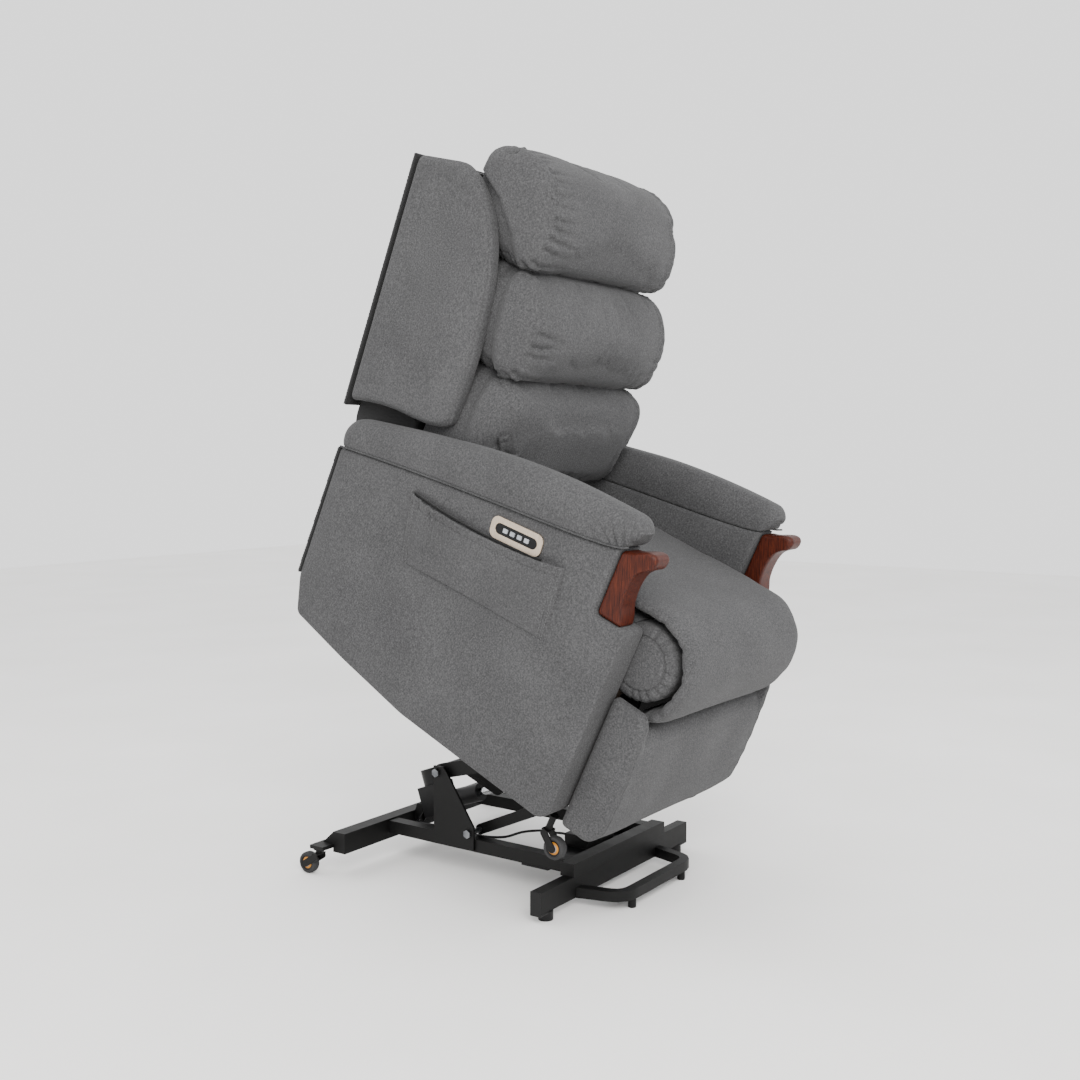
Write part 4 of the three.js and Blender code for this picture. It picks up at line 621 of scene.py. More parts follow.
def stitch_tree():
    """A node group that sets short thread stitches along a curve."""
    if "stitch_row" in bpy.data.node_groups:
        return bpy.data.node_groups["stitch_row"]
    tree = bpy.data.node_groups.new("stitch_row", "GeometryNodeTree")
    face = tree.interface
    face.new_socket("Geometry", in_out="INPUT", socket_type="NodeSocketGeometry")
    for label, value in (("Pitch", 0.006), ("Stitch length", 0.0042), ("Thread radius", 0.0006)):
        socket = face.new_socket(label, in_out="INPUT", socket_type="NodeSocketFloat")
        socket.default_value = value
        socket.subtype = "DISTANCE"
    face.new_socket("Thread", in_out="INPUT", socket_type="NodeSocketMaterial")
    face.new_socket("Geometry", in_out="OUTPUT", socket_type="NodeSocketGeometry")
    given = add_node(tree, "NodeGroupInput")
    spots = add_node(tree, "GeometryNodeCurveToPoints", {"Curve": given.outputs["Geometry"],
                                                        "Length": given.outputs["Pitch"]}, mode="LENGTH")
    stitch = add_node(tree, "GeometryNodeMeshCylinder", {"Radius": given.outputs["Thread radius"],
                                                        "Depth": given.outputs["Stitch length"]})
    stitch.inputs["Vertices"].default_value = 6
    rows = add_node(tree, "GeometryNodeInstanceOnPoints", {
        "Points": spots.outputs["Points"],
        "Instance": stitch.outputs["Mesh"],
        "Rotation": spots.outputs["Rotation"],
    })
    real = add_node(tree, "GeometryNodeRealizeInstances", {"Geometry": rows.outputs[0]})
    dyed = add_node(tree, "GeometryNodeSetMaterial", {"Geometry": real.outputs[0],
                                                     "Material": given.outputs["Thread"]})
    add_node(tree, "NodeGroupOutput", {"Geometry": dyed.outputs[0]})
    return tree


def stitches(name, points, pitch_mm, length_mm, radius_mm, body):
    """A row of stitches along row-frame points, baked to a plain mesh."""
    curve = bpy.data.curves.new(name, "CURVE")
    curve.dimensions = "3D"
    spline = curve.splines.new("POLY")
    spline.points.add(len(points) - 1)
    for point, place in zip(spline.points, points):
        point.co = (*place, 1)
    row = bpy.data.objects.new(f"{name}_path", curve)
    bpy.context.scene.collection.objects.link(row)
    modifier = row.modifiers.new("stitches", "NODES")
    modifier.node_group = stitch_tree()
    inputs = {item.name: item.identifier for item in modifier.node_group.interface.items_tree
              if item.item_type == "SOCKET" and item.in_out == "INPUT"}
    modifier[inputs["Pitch"]] = pitch_mm / 1000
    modifier[inputs["Stitch length"]] = length_mm / 1000
    modifier[inputs["Thread radius"]] = radius_mm / 1000
    modifier[inputs["Thread"]] = finish("thread")
    graph = bpy.context.evaluated_depsgraph_get()
    mesh = bpy.data.meshes.new_from_object(row.evaluated_get(graph))
    bpy.data.objects.remove(row)
    mesh.name = name
    if not mesh.materials:
        mesh.materials.append(finish("thread"))
    item = bpy.data.objects.new(name, mesh)
    bpy.context.scene.collection.objects.link(item)
    return dressed(item, body, ())


# ---------------------------------------------------------------- soft shaping

def to_chair(points):
    """Row-frame metres as chair-frame millimetres."""
    p = np.asarray(points, dtype=float) * 1000
    return chair_vectors(p - np.array([0, CHAIR_Y, CHAIR_Z]))


def mesh_points(mesh):
    flat = np.empty(len(mesh.vertices) * 3, dtype=np.float64)
    mesh.vertices.foreach_get("co", flat)
    return flat.reshape(-1, 3)


def mesh_normals(mesh):
    flat = np.empty(len(mesh.vertices) * 3, dtype=np.float32)
    mesh.vertex_normals.foreach_get("vector", flat)
    return flat.reshape(-1, 3).astype(float)


def set_points(mesh, points):
    mesh.vertices.foreach_set("co", np.asarray(points, dtype=np.float32).ravel())
    mesh.update()


def chair_vectors(vectors):
    """Row-frame directions in the chair's frame."""
    x, y, z = np.asarray(vectors).T
    return np.stack([x, y * TILT_COS + z * TILT_SIN, z * TILT_COS - y * TILT_SIN], axis=-1)


def subdivided(item, levels=1):
    """The piece with its Catmull-Clark subdivision applied."""
    modifier = item.modifiers.new("fine cloth", "SUBSURF")
    modifier.levels = levels
    modifier.render_levels = levels
    return bare_mesh(item)


def formed(item, amount):
    """Moves each point along its normal by amount(points, normals), in chair-frame millimetres."""
    mesh = item.data
    points = mesh_points(mesh)
    normals = mesh_normals(mesh)
    push = amount(to_chair(points), chair_vectors(normals))
    set_points(mesh, points + normals * (push / 1000)[:, None])
    return item


def stuffed(item, voxel, pressure, cap, pinned, slack=0.03):
    """Inflates a closed piece as real cloth over its filling, then applies the result.

    pinned says, for chair-frame points, which of them a seam or a board holds. The cloth is a
    little larger than its form, so that it gathers where it is held."""
    remesh = item.modifiers.new("even weave", "REMESH")
    remesh.mode = "VOXEL"
    remesh.voxel_size = voxel / 1000
    remesh.use_smooth_shade = True
    bare_mesh(item)
    start = mesh_points(item.data)
    held = item.vertex_groups.new(name="held")
    for index, weight in enumerate(pinned(to_chair(start))):
        if weight > 0:
            held.add([index], float(weight), "REPLACE")
    cloth = item.modifiers.new("cloth", "CLOTH")
    settings = cloth.settings
    settings.quality = 6
    settings.mass = 0.25
    settings.tension_stiffness = 22
    settings.compression_stiffness = 22
    settings.shear_stiffness = 10
    settings.bending_stiffness = 0.6
    settings.use_pressure = True
    settings.uniform_pressure_force = pressure
    settings.shrink_min = -slack
    settings.shrink_max = -slack
    settings.vertex_group_mass = "held"
    settings.effector_weights.gravity = 0
    cloth.collision_settings.use_collision = False
    cloth.collision_settings.use_self_collision = False
    cloth.point_cache.frame_start = 1
    cloth.point_cache.frame_end = 20
    scene = bpy.context.scene
    for moment in range(1, 21):
        scene.frame_set(moment)
    bare_mesh(item)
    end = mesh_points(item.data)
    move = end - start
    length = np.linalg.norm(move, axis=1, keepdims=True)
    set_points(item.data, start + move * np.minimum(1, cap / 1000 / np.maximum(length, 1e-9)))
    item.vertex_groups.clear()
    scene.frame_set(1)
    return item


def faded(value, low, high):
    """0 below low, 1 above high, smooth between."""
    t = np.clip((value - low) / (high - low), 0, 1)
    return t * t * (3 - 2 * t)


def board_front(z):
    """The front face of the back board at a height, in the chair's frame."""
    return 702 + (z - 480) * 0.1286


def wing_front(z):
    """The front edge of the wings at a height, in the chair's frame."""
    return np.interp(z, (594, 731, 827, 942, 1007, 1064, 1098), (597, 600, 615, 634, 659, 714, 785))


def slack_noise(points, broad, fine, seed, broad_size=70, fine_size=19):
    """Loose-cloth unevenness in millimetres: broad soft dents and finer creases."""
    coarse = noise_field(points, broad_size, seed)
    detail = noise_field(points, fine_size, seed + 7)
    return broad * coarse + fine * (1 - 2 * np.abs(detail)) * (0.5 + 0.5 * coarse)


class Pillow:
    """One of the back's stuffed pillows: its outline, its end seam, its gathers and how far it
    spreads in front of the wings."""

    def __init__(self, name, outline, seams, pleats, depth, reach, seed, calm=0.12, taper=0.0):
        self.name, self.half, self.taper, self.spread, self.calm = name, PILLOW_HALF, taper, 14, calm
        self.outline = smooth_outline(outline, 150)
        self.low, self.high = self.outline.min(axis=0), self.outline.max(axis=0)
        self.middle = (self.low + self.high) / 2
        self.seam_top, self.seam_foot = seams
        self.pleats, self.depth, self.reach, self.seed = pleats, depth, reach, seed

    def ring(self, x):
        """The outline at x: drawn in a little towards the ends."""
        share = abs(x) / self.half
        drawn = 1 - 0.045 * share ** 4
        front = 1 - self.taper * share ** 6
        size = np.array([drawn * front, drawn])
        anchor = np.array([self.high[0], self.middle[1]])
        return np.column_stack([np.full(len(self.outline), x), anchor + (self.outline - anchor) * size])

    def seam_reach(self, z):
        """How far from the end its seam runs, at a height."""
        up = faded(z, self.low[1], self.high[1])
        return self.seam_foot + (self.seam_top - self.seam_foot) * up

    def around(self, points):
        """The place round the pillow, 0 to 1, starting at its rear."""
        angle = np.arctan2(points[:, 2] - self.middle[1], self.middle[0] - points[:, 1])
        return (angle + math.pi) / (2 * math.pi)

    def free(self, points):
        """1 where the pillow is free, 0 where it lies on the back board."""
        return faded(board_front(points[:, 2]) - points[:, 1], 4, 40)

    def held(self, points):
        """What the board holds while the filling is blown up."""
        return np.where(self.free(points) < 0.1, 1.0, 0.0)

    def dress(self, points, normals):
        """The sewn shape: end seam, gathers either side of it and loose cloth."""
        free = self.free(points)
        e = self.half - np.abs(points[:, 0])
        seam = self.seam_reach(points[:, 2])
        t = self.around(points)
        push = np.zeros(len(points))
        for side, seed in ((-1, self.seed), (1, self.seed + 5)):
            here = points[:, 0] * side > 0
            pleated = gathers(e, t, seam, self.pleats, self.depth, self.reach, 3.5, seed, width=0.17)
            push += np.where(here, pleated * (1.0 if side < 0 else 0.25), 0)
        tall = self.high[1] - self.low[1]
        low = 1 - faded(points[:, 2], self.low[1] + 0.25 * tall, self.low[1] + 0.75 * tall)
        push *= self.calm + (1 - self.calm) * low
        push += groove(e - seam, 2.0, 1.6)
        push += slack_noise(points, 1.8, 0.08, self.seed, 100)
        clear = faded(wing_front(points[:, 2]) - 14 - points[:, 1], 0, 26)
        ends = faded(np.abs(normals[:, 0]), 0.15, 0.8)
        return push * free + self.spread * clear * ends

    def build(self, settings):
        rings = lofted(self.ring, -self.half, self.half, settings.pillow_edge * 1000, 4.5, 12, 9)
        item = soft_piece(f"{self.name}_cushion", rings, "cloth")
        stuffed(item, 6, 4, 7, self.held)
        subdivided(item)
        formed(item, self.dress)
        flattened(item)
        return dressed(item, "back", (self.name,))


def flattened(item):
    """Presses a pillow flat where it meets the back board."""
    points = to_chair(mesh_points(item.data))
    face = board_front(points[:, 2]) - 0.5
    points[:, 1] = np.minimum(points[:, 1], face)
    set_points(item.data, from_chair(points))
    return item


# ---------------------------------------------------------------- settings

def length(label, text, value_mm):
    return bpy.props.FloatProperty(name=label, description=text, default=value_mm / 1000, min=0,
                                   unit="LENGTH", subtype="DISTANCE", precision=4)


class LiftChairSoftSettings(bpy.types.PropertyGroup):
    """Sizes of the upholstery."""

    pillow_edge: length("Pillow edge", "Rounding at the ends of the back's pillows", 40)
    pad_edge: length("Arm pad edge", "Rounding at the ends of the arm pads", 30)
    roll_edge: length("Seat roll edge", "Rounding at the ends of the seat's front roll", 16)
    wing_edge: length("Wing edge", "Rounding round the wings", 17)
    panel_edge: length("Arm panel edge", "Rounding round the arms' padded boards", 9)
    welt_radius: length("Welt radius", "Radius of the welt cord under the arm pads", 2.0)
    stitch_pitch: length("Stitch pitch", "Distance from stitch to stitch", 6)
    stitch_length: length("Stitch length", "Length of one stitch", 4)
    thread_radius: length("Thread radius", "Radius of the sewing thread, drawn thick enough to show", 0.55)


class LiftChairHardSettings(bpy.types.PropertyGroup):
    """Sizes of the steelwork, wood and mouldings."""

    steel_bevel: length("Steel edge", "Broken edge of tubes and plates", 0.9)
    wood_bevel: length("Wood edge", "Rounding of the wooden arm knuckles", 10)
    moulding_bevel: length("Moulding edge", "Rounding of moulded pieces", 0.7)
    loop_corner: length("Loop corner", "Rounding of the front loop's square section", 2.5)


class LiftChairStageSettings(bpy.types.PropertyGroup):
    """The camera and light."""

    place: bpy.props.FloatVectorProperty(name="Camera place", description="Where the camera stands",
                                         default=(-2.3448, -1.6150, 0.950), subtype="TRANSLATION",
                                         unit="LENGTH")
    pitch: bpy.props.FloatProperty(name="Camera pitch", description="How far the camera looks down",
                                   default=math.radians(3.93), subtype="ANGLE", unit="ROTATION")
    heading: bpy.props.FloatProperty(name="Camera heading",
                                     description="The camera's turn about the vertical",
                                     default=math.radians(-54.84), subtype="ANGLE", unit="ROTATION")
    lens: bpy.props.FloatProperty(name="Lens", description="Focal length on a 36 mm wide picture",
                                  default=42.28, subtype="DISTANCE_CAMERA", unit="CAMERA")
    key_power: bpy.props.FloatProperty(name="Key light", description="Power of the large window light",
                                       default=200, min=0, subtype="POWER", unit="POWER")
    fill_power: bpy.props.FloatProperty(name="Fill light", description="Power of the soft fill light",
                                        default=28, min=0, subtype="POWER", unit="POWER")


def soft():
    return bpy.context.scene.lift_chair_soft


def hard():
    return bpy.context.scene.lift_chair_hard


def rider(node):
    """The body that a CAD node rides on."""
    return body_of(frame["nodes"][node])[0]


# ---------------------------------------------------------------- operators

class LIFTCHAIR_OT_stage(bpy.types.Operator):
    """Sets the camera, the soft lights and the pale floor"""
    bl_idname = "liftchair.stage"
    bl_label = "Stage"

    def light(self, name, place, target, width, power, tint):
        lamp = bpy.data.lights.new(name, "AREA")
        lamp.shape = "RECTANGLE"
        lamp.size = width[0]
        lamp.size_y = width[1]
        lamp.energy = power
        lamp.color = tint
        item = bpy.data.objects.new(name, lamp)
        item.location = place
        item.rotation_euler = (Vector(target) - Vector(place)).to_track_quat("-Z", "Y").to_euler()
        bpy.context.scene.collection.objects.link(item)

    def execute(self, context):
        stage = context.scene.lift_chair_stage
        camera = bpy.data.cameras.new("camera")
        camera.lens = stage.lens
        camera.sensor_width = 36
        item = bpy.data.objects.new("camera", camera)
        item.location = stage.place
        item.rotation_euler = Euler((math.pi / 2 - stage.pitch, 0, stage.heading))
        context.scene.collection.objects.link(item)
        context.scene.camera = item
        middle = (0, 0, 0.75)
        self.light("window_light", (-3.0, -2.6, 2.9), middle, (2.6, 2.2), stage.key_power, (1.0, 0.985, 0.96))
        self.light("fill_light", (2.6, -2.8, 1.9), middle, (2.4, 2.0), stage.fill_power, (0.95, 0.97, 1.0))
        self.light("ceiling_light", (-0.4, 1.0, 3.4), middle, (2.6, 2.6), stage.fill_power, (1.0, 1.0, 1.0))
        material, tree, shader = new_material("pale_painted_floor")
        place = add_node(tree, "ShaderNodeTexCoord").outputs["Object"]
        wear = add_node(tree, "ShaderNodeTexNoise", {"Vector": place}, Scale=1 / 0.6, Detail=3.0)
        tint = add_node(tree, "ShaderNodeValToRGB", {"Fac": wear.outputs["Fac"]},
                        [(0.3, 0xf1f0ee), (0.7, 0xf7f6f5)]).outputs["Color"]
        tree.links.new(tint, shader.inputs["Base Color"])
        shader.inputs["Roughness"].default_value = 0.75
        mesh = bpy.data.meshes.new("floor")
        mesh.from_pydata([(-8, -8, 0), (8, -8, 0), (8, 8, 0), (-8, 8, 0)], [], [(0, 1, 2, 3)])
        mesh.materials.append(material)
        floor = bpy.data.objects.new("floor", mesh)
        context.scene.collection.objects.link(floor)
        world = bpy.data.worlds.new("pale_room")
        world.use_nodes = True
        world.node_tree.nodes["Background"].inputs["Color"].default_value = linear(0xfafafa)
        world.node_tree.nodes["Background"].inputs["Strength"].default_value = 1.75
        context.scene.world = world
        return {"FINISHED"}


class LIFTCHAIR_OT_pillows(bpy.types.Operator):
    """Makes the head, middle and lumbar pillows of the back"""
    bl_idname = "liftchair.pillows"
    bl_label = "Back pillows"

    def execute(self, context):
        def rear(z, inset=0.5):
            return (board_front(z) - inset, z)

        Pillow("head_pillow", [
            rear(958), rear(1010), rear(1070), rear(1110), rear(1134, 12), (742, 1158), (690, 1165),
            (640, 1157), (598, 1131), (566, 1086), (550, 1042), (546, 1000), (560, 964), (610, 950),
            (660, 948), (715, 949),
        ], (22, 10), 30, 10.0, 52, 3, calm=0.35).build(soft())
        Pillow("middle_pillow", [
            rear(752), rear(830), rear(900), rear(926, 3), (690, 940), (640, 943), (580, 943), (541, 934),
            (513, 905), (492, 862), (486, 816), (490, 766), (512, 740), (560, 732), (620, 732), (690, 736),
        ], (12, 7), 26, 11.0, 56, 11, calm=0.25).build(soft())
        Pillow("lumbar_pillow", [
            rear(512), rear(580), rear(650), rear(704, 3), (680, 724), (620, 729), (560, 729), (512, 724),
            (482, 708), (471, 680), (472, 640), (480, 590), (490, 545), (508, 508), (560, 490), (640, 491),
            (690, 494),
        ], (9, 6), 22, 2.2, 40, 23, taper=0.06).build(soft())
        return {"FINISHED"}


class LIFTCHAIR_OT_seat(bpy.types.Operator):
    """Makes the seat cushion with its front roll, and the long pad over it"""
    bl_idname = "liftchair.seat"
    bl_label = "Seat"

    def roll(self):
        centre, radius, half = np.array([ROLL_Y, ROLL_Z]), ROLL_RADIUS - 5, PILLOW_HALF - 2
        turns = np.linspace(0, 2 * math.pi, 160, endpoint=False)
        outline = centre + radius * np.column_stack([np.cos(turns), np.sin(turns)])
        rings = lofted(across(outline), -half, half, soft().roll_edge * 1000, 5, 22, 7)
        item = subdivided(soft_piece("seat_roll", rings, "cloth"))

        def dress(points, normals):
            out = np.hypot(points[:, 1] - centre[0], points[:, 2] - centre[1])
            angle = np.arctan2(points[:, 2] - centre[1], points[:, 1] - centre[0])
            t = (angle + math.pi) / (2 * math.pi)
            e = half - np.abs(points[:, 0])
            face = faded(np.abs(normals[:, 0]), 0.5, 0.9)
            arc = groove(out - radius * 0.70, 2.2, 4.2) * face
            forward = faded(-np.cos(angle), -0.3, 0.5)
            dashes = gathers(out, t, radius * 0.80, 19, 5.0, 14, 9, 31, width=0.17) * face * forward
            rim = gathers(e, t, 2.0, 19, 3.0, 26, 6, 31, width=0.2) * (1 - face) * forward
            return arc + dashes + rim + slack_noise(points, 1.2, 0.1, 17, 60, 15)

        return formed(item, dress)

    def block(self):
        outline = smooth_outline(rounded_corners([
            (556, 293), (556, 434), (300, 437), (40, 438), (24, 380), (34, 300)], 34), 150)
        rings = lofted(across(outline), -249, 249, 26, 8, 8, 3)
        item = soft_piece("seat_block", rings, "cloth")
        return formed(item, lambda points, normals:
                      slack_noise(points, 1.8, 0.5, 9) * faded(points[:, 2], 296, 320))

    def chaise(self):
        half, thick = PILLOW_HALF, CHAISE_THICK
        radius = ROLL_RADIUS + CHAISE_GAP + thick / 2
        path = [(500, 458), (400, 460), (300, 462), (200, 464), (100, 467)]
        for angle in np.radians(np.linspace(85, 204, 12)):
            path.append((ROLL_Y + radius * math.cos(angle), ROLL_Z + radius * math.sin(angle)))
        path += [(-73, 297), (-58, 279), (-34, 269)]
        path = np.array(path)
        length = np.concatenate([[0], np.cumsum(np.hypot(*np.diff(path, axis=0).T))])
        dense = np.linspace(0, length[-1], 400)
        line = np.column_stack([np.interp(dense, length, path[:, k]) for k in (0, 1)])
        for _ in range(30):
            line[1:-1] = (line[:-2] + line[1:-1] * 2 + line[2:]) / 4
        tangent = np.gradient(line, axis=0)
        tangent /= np.linalg.norm(tangent, axis=1, keepdims=True)
        normal = np.column_stack([tangent[:, 1], -tangent[:, 0]])
        turns = np.linspace(0, 2 * math.pi, 220, endpoint=False)
        section = []
        for a in turns:
            c, s = math.cos(a), math.sin(a)
            section.append((math.copysign(abs(c) ** 0.16, c), math.copysign(abs(s) ** 0.75, s)))
        section = np.array(section)

        def ring(station):
            share = station / length[-1] * (len(line) - 1)
            k = int(np.clip(share, 0, len(line) - 2))
            f = share - k
            p = line[k] * (1 - f) + line[k + 1] * f
            n = normal[k] * (1 - f) + normal[k + 1] * f
            scallop = 3.4 * (1 - math.cos(2 * math.pi * station / 86)) / 2
            crown = 1 + 0.10 * (1 - section[:, 0] ** 2)
            x = section[:, 0] * (half - scallop)
            out = section[:, 1] * thick / 2 * crown
            return np.column_stack([x, p[0] + n[0] * out, p[1] + n[1] * out])

        edge = thick / 2 - 1
        bends = np.linspace(0, math.pi / 2, 7)

        def end_ring(station, bend):
            """The ring at a station, drawn in as the end rounds over."""
            whole = ring(station)
            middle = whole.mean(axis=0)
            flat = max(0.08, math.cos(bend))
            return middle + (whole - middle) * np.array([1 - edge * (1 - math.cos(bend)) / half, flat, flat])

        stations = [edge * (1 - math.sin(bend)) for bend in bends[::-1]]
        rings = [end_ring(at, bend) for at, bend in zip(stations, bends[::-1])]
        rings += [ring(at) for at in np.arange(edge + 4, length[-1] - edge, 4.0)]
        rings += [end_ring(length[-1] - at, bend) for at, bend in zip(stations[::-1], bends)]
        item = soft_piece("chaise_cushion", np.array(rings), "cloth")

        def dress(points, normals):
            e = half - np.abs(points[:, 0])
            along = np.arctan2(points[:, 2] - ROLL_Z, ROLL_Y - points[:, 1])
            curved = points[:, 1] < 60
            t = np.where(curved, (along + math.pi / 2) / math.pi, 1.0 + (points[:, 1] - 60) / 300)
            near = np.where(points[:, 0] < 0, 1.0, 0.2)
            pinch = gathers(e, t % 1.0, 4.0, 9, 3.0, 24, 6, 41, width=0.2) * near
            lip = faded(300 - points[:, 2], 0, 40)
            under = gathers(points[:, 2], (points[:, 0] + half) / (2 * half), 268.0, 11, 2.0, 34, 4, 43) * lip
            return pinch * faded(60 - points[:, 1], 0, 60) + under + slack_noise(points, 1.3, 0.08, 5, 90)

        formed(item, dress)
        return dressed(item, "chair", ("chaise_pad",))

    def execute(self, context):
        cushion = joined("seat_cushion_stuffed", [self.roll(), self.block()])
        dressed(cushion, "chair", ("seat_cushion",))
        self.chaise()
        return {"FINISHED"}


def arm_share(y):
    """How far back along the arm a place is, 0 to 1."""
    return np.clip((y - SEAM_FRONT) / (ARM_DEPTH - SEAM_FRONT), 0, 1)


def seam_height(y):
    """Height of the seam between an arm and its pad: steep at the front, then even."""
    share = arm_share(y)
    return SEAM_TOP - SEAM_DROP * (0.62 * np.sqrt(share) + 0.38 * share * share)


def crown_height(y):
    """Height of the top of an arm pad, without its thickness: it falls more evenly than the seam."""
    share = arm_share(y)
    return SEAM_TOP - SEAM_DROP * (0.66 * share + 0.34 * share * share)


def mouth_height(y):
    """Height of the side pocket's hem at a place along the arm."""
    (rear, rear_z), (front, front_z) = POCKET_REAR_TOP, POCKET_FRONT_TOP
    u = np.clip((y - front) / (rear - front), 0, 1)
    return front_z + (rear_z - front_z) * u - POCKET_SAG * (4 * u * (1 - u)) ** 0.9


def mouth(points):
    """How far the arm's padding sinks behind the mouth of the side pocket."""
    along = faded(points[:, 1], 196, 240) * (1 - faded(points[:, 1], 588, 600))
    wide = 2.5 + 2.5 * faded(points[:, 1], 300, 560)
    return -5.5 * np.exp(-((points[:, 2] - mouth_height(points[:, 1]) - 2.5) / wide) ** 2) * along


class LIFTCHAIR_OT_arms(bpy.types.Operator):
    """Makes the padded arm panels, the arm pads and their welts"""
    bl_idname = "liftchair.arms"
    bl_label = "Arms"

    def panel(self, name, sign):
        top = [(y, seam_height(y) - 0.5) for y in np.linspace(math.sqrt(729), 0.63, 24) ** 2 + 100]
        front = ARM_FRONT + 0.5
        outline = rounded_corners([(46, 0.5), (440, 0), (638, 22), (803, 48), (ARM_DEPTH, 129)] + top
                                  + [(NOTCH_DEPTH, NOTCH_LOW), (front, NOTCH_LOW), (front, 22)], 12)
        outline = smooth_outline(outline, 420, sharp=True)
        low, high = sorted((sign * ARM_INNER, sign * ARM_OUTER))
        rings = lofted(across(outline), low, high, soft().panel_edge * 1000, 8, 34, 1.5, centre=(0, 380, 270))
        item = soft_piece(f"{name}_upholstery", rings, "cloth")

        def dress(points, normals):
            outside = faded(np.abs(normals[:, 0]), 0.6, 0.95)
            near_edge = np.minimum.reduce([points[:, 1] - ARM_FRONT, ARM_DEPTH - points[:, 1], points[:, 2],
                                           np.abs(seam_height(points[:, 1]) - points[:, 2])])
            quilt = 2.4 * faded(near_edge, 0, 46) - 1.2
            return (quilt + slack_noise(points, 0.9, 0.1, 51, 150) + mouth(points) * (sign < 0)) * outside

        formed(item, dress)
        return dressed(item, "chair", (name,))

    def pad(self, name, sign):
        front, rear, inner, outer = 76.6, 838, 253.5, 341
        middle_x, half = sign * (inner + outer) / 2, (outer - inner) / 2
        turns = np.linspace(0, math.pi, 62)

        def height(y):
            station = 2 * (y - front) / (rear - front) - 1
            end = 50 if station < 0 else 66
            return 76 - (76 - end) * station * station + crown_height(y) - seam_height(y)

        def ring(y):
            low, h = seam_height(y), height(y)
            rows = []
            for a in turns:
                c, s = -math.cos(a), math.sin(a)
                up = abs(s) ** 0.62
                wide = 0.93 + 0.07 * math.sin(math.pi * min(up / 0.85, 1))
                rows.append((middle_x + half * wide * math.copysign(abs(c) ** 0.62, c), y, low + h * up))
            for share in np.linspace(1, -1, 16)[1:-1]:
                rows.append((middle_x + half * 0.93 * share, y, low + 0.4))
            return np.array(rows)

        rings = lofted(ring, front, rear, soft().pad_edge * 1000, 5, 8, 2, axis=1)
        # The ends round over the top and sides only: their lower edge stays on the arm.
        low = seam_height(rings[..., 1])
        rings[..., 2] = np.maximum(rings[..., 2], low + 0.4)
        item = subdivided(soft_piece(f"{name}_stuffed", rings, "cloth"))

        def dress(points, normals):
            up = points[:, 2] - seam_height(points[:, 1])
            free = faded(up, 1.5, 8)
            out = sign * (points[:, 0] - middle_x)
            pucker = np.zeros(len(points))
            for place, deep, slope, reach in ((84, 7, 0.15, 34), (94, 7, 0.4, 44), (106, 6.5, 0.75, 46),
                                              (121, 5, 1.1, 36), (150, 3, 1.2, 26)):
                line = (points[:, 1] - place - slope * up) / math.hypot(1, slope)
                fall = np.exp(-(up / reach) ** 2) * faded(out, 5, 30)
                pucker -= deep * np.exp(-(line / 2.8) ** 2) * fall
                pucker += 0.35 * deep * np.exp(-((line - 6.5) / 4) ** 2) * fall
            gather = gathers(up, (points[:, 1] - 76) / 764, 2.0, 26, 1.2, 14, 3, 61, width=0.3)
            slack = slack_noise(points, 1.4, 0.12, 63, 110)
            return (pucker + gather * faded(np.abs(out), 20, 36) + slack) * free

        formed(item, dress)
        return dressed(item, "chair", (name,))

    def welt(self, side, sign):
        x = sign * 338.2
        path = [(x, y, seam_height(y) + 1.0) for y in np.linspace(84, 826, 60)]
        item = tube(f"arm_welt_{side}", from_chair(path), soft().welt_radius * 1000, "piping", 10)
        return dressed(item, "chair", ())

    def execute(self, context):
        for side, sign in SIDES:
            self.panel(f"arm_{side}", sign)
            self.pad(f"arm_pad_{side}", sign)
            self.welt(side, sign)
        return {"FINISHED"}


class LIFTCHAIR_OT_wings(bpy.types.Operator):
    """Makes the padded wings at the sides of the back"""
    bl_idname = "liftchair.wings"
    bl_label = "Wings"

    outline = [(884, 536), (897, 800), (910, 1079), (790, 1101), (748, 1086), (707, 1054), (674, 1014),
               (650, 970), (632, 920), (619, 870), (610, 810), (603, 750), (600, 690), (600, 635), (603, 600),
               (622, 587), (655, 577), (700, 572), (750, 569), (800, 561), (845, 549)]

    def execute(self, context):
        outline = smooth_outline(rounded_corners(self.outline, 14, 4), 300, sharp=True)
        for side, sign in SIDES:
            low, high = sorted((sign * 258, sign * 300))
            edge = soft().wing_edge * 1000
            rings = lofted(across(outline), low, high, edge, 4, 26, 2.5, centre=(0, 735, 830))
            item = soft_piece(f"wing_{side}_upholstery", rings, "cloth")

            def dress(points, normals, sign=sign, seed=71 + sign):
                outside = faded(sign * normals[:, 0], 0.55, 0.95)
                seam = groove(sign * points[:, 0] - 293.5, 1.5, 1.8) * (1 - outside)
                return seam + slack_noise(points, 1.2, 0.1, seed, 130) * outside

            formed(item, dress)
            dressed(item, "back", (f"wing_{side}",))
        return {"FINISHED"}


